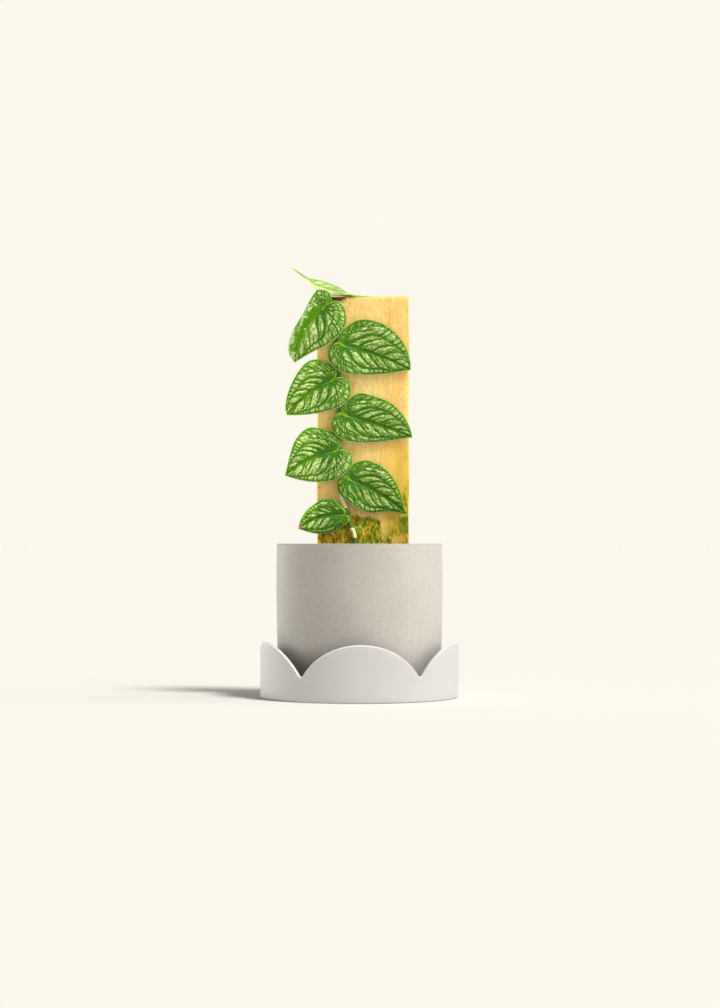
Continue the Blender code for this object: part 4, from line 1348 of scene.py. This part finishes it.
def grid_faces(table, tip_index):
    """Faces between the rows of a table of points, and from its last row to the tip."""
    faces = []
    for here, there in zip(table, table[1:]):
        for j in range(len(here) - 1):
            corners = (here[j], there[j], there[j + 1], here[j + 1])
            faces.append(corners[1:] if corners[0] == corners[1] else corners)
    last = table[-1]
    return faces + [(a, tip_index, b) for a, b in zip(last, last[1:])]


def blade_mesh(upper, lower, tip, bow, place, out, seed, stations=STATIONS, lobe_rows=LOBE_ROWS,
               rings=FRONT_RINGS, relief=1.0, tail_swell=0.0):
    """Points in millimetres, faces and marks of a closed blade with a rounded edge."""
    halves = [HalfBlade(points, arch, tip, bow, stations, lobe_rows)
              for points, arch in zip((upper, lower), ARCH_LEVELS)]
    skin = Skin(place, out, tip, relief, tail_swell)
    along = tip * np.arange(stations) / stations
    midrib = np.column_stack([along, halves[0].bow_at(along)])
    on_midrib = np.concatenate([np.zeros(lobe_rows + 1, int), np.arange(1, stations)])
    faces, edges, tip_index = [], [], None
    for side, ring_count in ((1, rings), (-1, BACK_RINGS)):
        shares = np.linspace(0, 1, ring_count + 1)[1:]
        shares = np.insert(shares, -1, 1 - 0.35 / ring_count) if side > 0 else shares[:-1]
        first_mid = skin.add(side, halves[0], seed, midrib, along / tip, np.zeros(stations))
        if tip_index is None:
            tip_index = skin.add(side, halves[0], seed, np.array([(tip, 0.0)]), np.ones(1), np.ones(1))
        notch = None
        for number, half in enumerate(halves):
            spot = half.root[:, None, :] + (half.edge - half.root)[:, None, :] * shares[None, :, None]
            first = skin.add(side, half, seed + 17 * number, spot.reshape(-1, 2),
                             np.repeat(half.row, len(shares)), np.tile(shares, len(half.row)),
                             np.repeat(skin.facing_down(half), len(shares)))
            body = first + np.arange(spot.size // 2).reshape(spot.shape[:2])
            columns = [first_mid + on_midrib, body]
            if side < 0:
                columns.append(edges[number])
            table = np.column_stack(columns)
            notch = table[0].copy() if notch is None else notch
            table[0] = notch
            if side > 0:
                edges.append(table[:, -1])
            faces += grid_faces(table, tip_index)
    marks = {label: np.concatenate(values) for label, values in skin.marks.items()}
    return drop_unused(np.vstack(skin.points), faces, marks)


def drop_unused(points, faces, marks):
    """Leave out points that no face uses, such as the second copy of the notch row."""
    used = np.zeros(len(points), bool)
    used[[index for face in faces for index in face]] = True
    renumber = np.cumsum(used) - 1
    faces = [tuple(int(renumber[index]) for index in face) for face in faces]
    return points[used], faces, {label: values[used] for label, values in marks.items()}


# The marks of a stalk, which is all one green
STALK = dict(vein=FAR, thread=FAR, rim=FAR, mid=FAR, band=FAR, past_board=-FAR, stalk=1.0)


def laid_flat(joint, tip, height):
    """Length, direction ahead, direction across and places of a blade against the plank.

    height(x, z, share) says how far the middle of its thickness stands off.
    """
    joint, tip = np.array(joint, float), np.array(tip, float)
    length = np.linalg.norm(tip - joint)
    ahead = (tip - joint) / length
    across = np.array((-ahead[1], ahead[0])) * math.copysign(1, ahead[0])

    def place(along, aside, share):
        x, z = (joint[i] + ahead[i] * along + across[i] * aside for i in (0, 1))
        return on_plank(x, z, height(x, z, share))

    return length, ahead, across, place


def blade_height(x, z, share, joint_z, back):
    """How far a blade's middle stands off the plank's front."""
    near = np.exp(-((x - vine_x(z)) / VINE_SPREAD) ** 2)
    over_vine = VINE_HEIGHT - EDGE_HEIGHT + SHINGLE_SLOPE * (joint_z - z)
    past = np.clip(PLANK_LEFT - x, 0, None)
    dome = DOME * 4 * share * (1 - share)
    return EDGE_HEIGHT + near * over_vine + dome - back * past ** 2


def leaf_stalk(spec, ahead):
    """From beside the leaf's node to just inside its joint."""
    joint = np.array(spec["joint"])
    node = np.array((vine_x(spec["node"]), spec["node"]))
    beside = 1.1 * (NODE_RADIUS + PETIOLE_RADIUS + GAP)
    start = node + (math.copysign(beside, joint[0] - node[0]), -1)
    top = blade_height(*joint, 0, joint[1], spec["back"])
    stops = [(start, VINE_OFF_PLANK + 0.6), ((start + joint) / 2, 0.5 * (VINE_OFF_PLANK + top)),
             (joint, top), (joint + ahead * 3, top + 0.1)]
    path = curve_through([on_plank(*spot, height)[0] for spot, height in stops], 6)
    return tube(path, PETIOLE_RADIUS * np.linspace(1.0, 0.62, len(path)), 14)


def leaf(name, number, material):
    """One shingle leaf with its stalk."""
    spec = LEAVES[name]
    joint = np.array(spec["joint"])
    length, ahead, across, place = laid_flat(
        joint, spec["tip"], lambda x, z, share: blade_height(x, z, share, joint[1], spec["back"]))
    points, faces, marks = blade_mesh(spec["upper"], spec["lower"], length, spec["bow"], place,
                                      (0, -1, 0), 100 + number)
    marks["hub"] = 1 - smooth(marks["hub"], 0.2 * spec["hub"], spec["hub"])
    if name == BLOTCHED:
        from_joint = points[:, [0, 2]] - joint
        marks["blotch"] = smooth(from_joint @ across, 1.0, 2.4) * smooth(from_joint @ ahead, -4, 3)
    if name == DRIED_TIP:
        marks["dried"] = smooth(marks["heart"], length - 4.5, length - 2.6)
    heap = Heap()
    heap.add(points, faces, **marks, fresh=spec["fresh"])
    heap.add(*leaf_stalk(spec, ahead), **STALK)
    heap.piece(f"{name}_blade", material, "leaf", [name])


def leaf_finish():
    """Dark green along the veins, silver-green panels between them, bright at the edge."""
    shade = Shade("leaf")
    vein, thread, band, hub = (shade.mark(name) for name in ("vein", "thread", "band", "hub"))
    rim, mid, heart = (shade.mark(name) for name in ("rim", "mid", "heart"))
    # Painted backlight: past the plank's left edge the leaf is painted lighter and yellower, as if lit
    # through from behind
    painted_backlight = shade.mark("past_board").ease(0.0, 1.2)
    streak = shade.noise(1, vector=shade.flow(0.55, 0.11)) - 0.5
    brush = shade.noise(1, vector=shade.flow(1.15, 0.38)) - 0.5
    ragged = shade.noise(430, 3, 0.8) - 0.5

    # Where the dark green lies: on the veins, the fine veins, a line inside the edge and a net
    reach = mid.ease(2, 9, 5.2, 1.6) + hub * 4.0
    spine = mid.ease(0.8, 3.4, 1.1, 0.0) * heart.ease(18, 50, 1.0, 0.25)
    wander = streak * reach + brush * 1.6 + ragged * 2.8 - spine
    dark = (vein + wander - hub * 1.4).ease(0.05, 0.3, 1.0, 0.0)
    threads = (thread + ragged * 1.2).ease(0.38, 0.6, 1.0, 0.0)
    inner_line = abs(band - 1.0 + ragged * 0.5).ease(0.2, 0.4, 0.9, 0.0)
    cells = shade.add("ShaderNodeTexVoronoi", {"Vector": shade.flow(0.30, 0.22), "Scale": 1},
                      "Distance", feature="DISTANCE_TO_EDGE")
    net = (cells + ragged * 0.2).ease(0.08, 0.13, 0.7, 0.0)
    shadow = dark.most(threads.most(inner_line)).most(net)

    deep = shade.layers(
        shade.mix(ragged.ease(-0.15, 0.15), (0.024, 0.120, 0.0), (0.085, 0.230, 0.008)),
        (hub * 0.7, (0.045, 0.170, 0.026)),
        (brush.ease(0.02, 0.14, 0.0, 0.5), (0.125, 0.300, 0.040)),
        (painted_backlight * 0.4, (0.105, 0.315, 0.0)),
    )
    grain = ragged * 1.3 + brush * 0.35
    panel = shade.layers(
        shade.mix(shade.noise(190).ease(0.35, 0.65), (0.390, 0.570, 0.130), (0.525, 0.700, 0.235)),
        (grain.ease(0.04, 0.14, 0.0, 0.6), (0.090, 0.230, 0.010)),
        (grain.ease(0.0, -0.10, 0.0, 0.55), (0.820, 0.920, 0.540)),
        (rim.ease(3.0, 1.0, 0.0, 0.2), (0.230, 0.440, 0.040)),
        (painted_backlight * 0.45, (0.840, 0.970, 0.380)),
    )
    tone = shade.mix(shadow, panel, deep)
    # Lightens whole leaves: partly their own paler tone, partly painted light on leaves in shade, most on
    # leaf_7
    tone = shade.mix(shade.mark("fresh"), tone, (1.45, 1.38, 1.75), blend="MULTIPLY")

    fleck = shade.noise(235, 2) + ragged * 0.5 + rim.ease(2.0, 8.0, 0.0, -0.2) - hub * 0.3
    spots = shade.mix(fleck.ease(0.45, 0.51), (0.130, 0.370, 0.002), (0.800, 0.960, 0.520))
    # The edge gets the same painted backlight past the plank
    edge = shade.mix(painted_backlight, (0.130, 0.360, 0.012), (0.260, 0.620, 0.004))
    pale_line = shade.mark("low_side") * rim.ease(0.6, 0.3) * 0.85
    under = shade.mix(dark, (0.34, 0.52, 0.17), (0.20, 0.40, 0.09))
    tone = shade.layers(
        tone,
        (shade.mark("blotch") * 0.75, spots),
        (rim.ease(0.8, 0.45, 0.0, 0.9), edge),
        (heart.ease(11, 7) * rim.ease(1.5, 0.9, 0.0, 0.9), (0.200, 0.460, 0.020)),
        (pale_line, (0.700, 0.830, 0.480)),
        (mid.ease(0.7, 0.2) * heart.ease(4, 16, 0.8, 0.0), (0.180, 0.400, 0.080)),
        (shade.mark("under"), under),
        (shade.mark("dried"), (0.720, 0.290, 0.170)),
        (shade.mark("stalk").most(heart.ease(2.2, 0.6)), (0.240, 0.520, 0.012)),
    )
    shade.bump(ragged + brush, 0.15, 0.25 * MM)
    return shade.finish(tone, shadow.ease(0.0, 1.0, 0.55, 0.46), Subsurface_Weight=0.3,
                        Subsurface_Scale=0.6 * MM, Subsurface_Radius=(0.5, 1.0, 0.12),
                        Specular_IOR_Level=0.07)


def young_leaf():
    """The pale newest leaf, folded along its midrib and drawn out into a thin tip."""
    joint = np.array((*YOUNG_JOINT, PLANK_TOP))
    ahead = np.array((*YOUNG_AIM, 0)) / np.linalg.norm(YOUNG_AIM)
    across = np.array((-ahead[1], ahead[0], 0))
    spine = curve_through(YOUNG_SPINE, 12)

    def place(along, aside, share):
        climb = np.interp(along, spine[:, 0], spine[:, 1])
        fold = YOUNG_FOLD * smooth(along, YOUNG_FOLD_FROM, YOUNG_FOLD_TO)
        spot = joint + np.outer(along, ahead) + np.outer(aside, across)
        spot[:, 2] += climb - fold * np.abs(aside)
        return spot

    points, faces, marks = blade_mesh(YOUNG_NEAR, YOUNG_FAR, YOUNG_TIP, 0, place, (0, 0, 1), 300,
                                      stations=120, relief=0.5, tail_swell=YOUNG_TAIL_SWELL)
    heap = Heap()
    heap.add(points, faces, **marks)
    path = curve_through([(x, y, PLANK_TOP + z) for x, y, z in YOUNG_PETIOLE], 8)
    heap.add(*tube(path, YOUNG_STALK_RADIUS, 14), **STALK)
    heap.piece("young_leaf_blade", young_finish(), "young_leaf", ["young_leaf"])


def young_finish():
    """Lime green along the midrib and edge, cream between the faint first veins."""
    shade = Shade("young_leaf")
    vein, rim, mid, along = (shade.mark(name) for name in ("vein", "rim", "mid", "heart"))
    wander = (shade.noise(1, vector=shade.flow(0.9, 0.14)) - 0.5) * 7.0
    green = (vein + wander).ease(-0.2, 0.9, 1.0, 0.0)
    cream = shade.mix(shade.noise(500).ease(0.35, 0.65), (0.24, 0.38, 0.08), (0.53, 0.62, 0.32))
    lime = shade.mix(shade.noise(300), (0.075, 0.225, 0.006), (0.16, 0.31, 0.025))
    tone = shade.layers(
        cream,
        (green * 0.95, lime),
        (mid.ease(3.2, 0.6, 0.0, 0.85), (0.12, 0.29, 0.012)),
        (rim.ease(0.8, 0.4, 0.0, 0.6), (0.50, 0.64, 0.26)),
        (shade.mark("under"), (0.56, 0.72, 0.30)),
        (along.ease(40, 45), (0.19, 0.30, 0.012)),
        (shade.mark("stalk"), (0.66, 0.80, 0.42)),
    )
    shade.bump(shade.noise(900, 2), 0.2, 0.2 * MM)
    return shade.finish(tone, wander.ease(-1, 1, 0.42, 0.55), Subsurface_Weight=0.85,
                        Subsurface_Scale=5.0 * MM, Subsurface_Radius=(0.8, 1.0, 0.5),
                        Specular_IOR_Level=0.4)


def bud_leaf():
    """A scale leaf a few millimetres long, on its own stalk."""
    length, _, _, place = laid_flat(BUD_JOINT, BUD_TIP,
                                    lambda x, z, share: BUD_HEIGHT + 0.4 * (1 - share))
    points, faces, marks = blade_mesh(BUD_UPPER, BUD_LOWER, length, 0, place, (0, -1, 0), 400,
                                      stations=24, lobe_rows=14, rings=16, relief=0.3)
    heap = Heap()
    heap.add(points, faces, **marks)
    x, z = BUD_JOINT
    start = (vine_x(z) + NODE_RADIUS + GAP + BUD_STALK_RADIUS, PLANK_FRONT - VINE_OFF_PLANK - 0.4, z)
    end = (x + 1.5, PLANK_FRONT - BUD_HEIGHT, z)
    heap.add(*tube(np.linspace(start, end, 8), BUD_STALK_RADIUS, 12), **STALK)
    heap.piece("bud_leaf_blade", bud_finish(), "leaf", ["bud_leaf"])


def bud_finish():
    """Fresh green, paler at the edge."""
    shade = Shade("bud")
    cloud = shade.noise(900)
    tone = shade.layers(
        shade.mix(cloud, (0.12, 0.38, 0.02), (0.28, 0.56, 0.06)),
        (shade.mark("rim").ease(0.9, 0.3, 0.0, 0.6), (0.42, 0.62, 0.22)),
    )
    shade.bump(cloud, 0.2, 0.2 * MM)
    return shade.finish(tone, cloud.ease(0.3, 0.7, 0.42, 0.55), Subsurface_Weight=0.4,
                        Subsurface_Scale=0.6 * MM, Specular_IOR_Level=0.3)


def build():
    noise.seed_set(WAVER_SEED)
    studio()
    saucer()
    pot()
    soil()
    rng = np.random.default_rng(CRUMB_SEED)
    bark_chips(rng)
    perlite(rng)
    dry_fibres(rng)
    plank()
    vine()
    green = leaf_finish()
    for number, name in enumerate(LEAVES):
        leaf(name, number, green)
    young_leaf()
    bud_leaf()
    rim_light()


build()
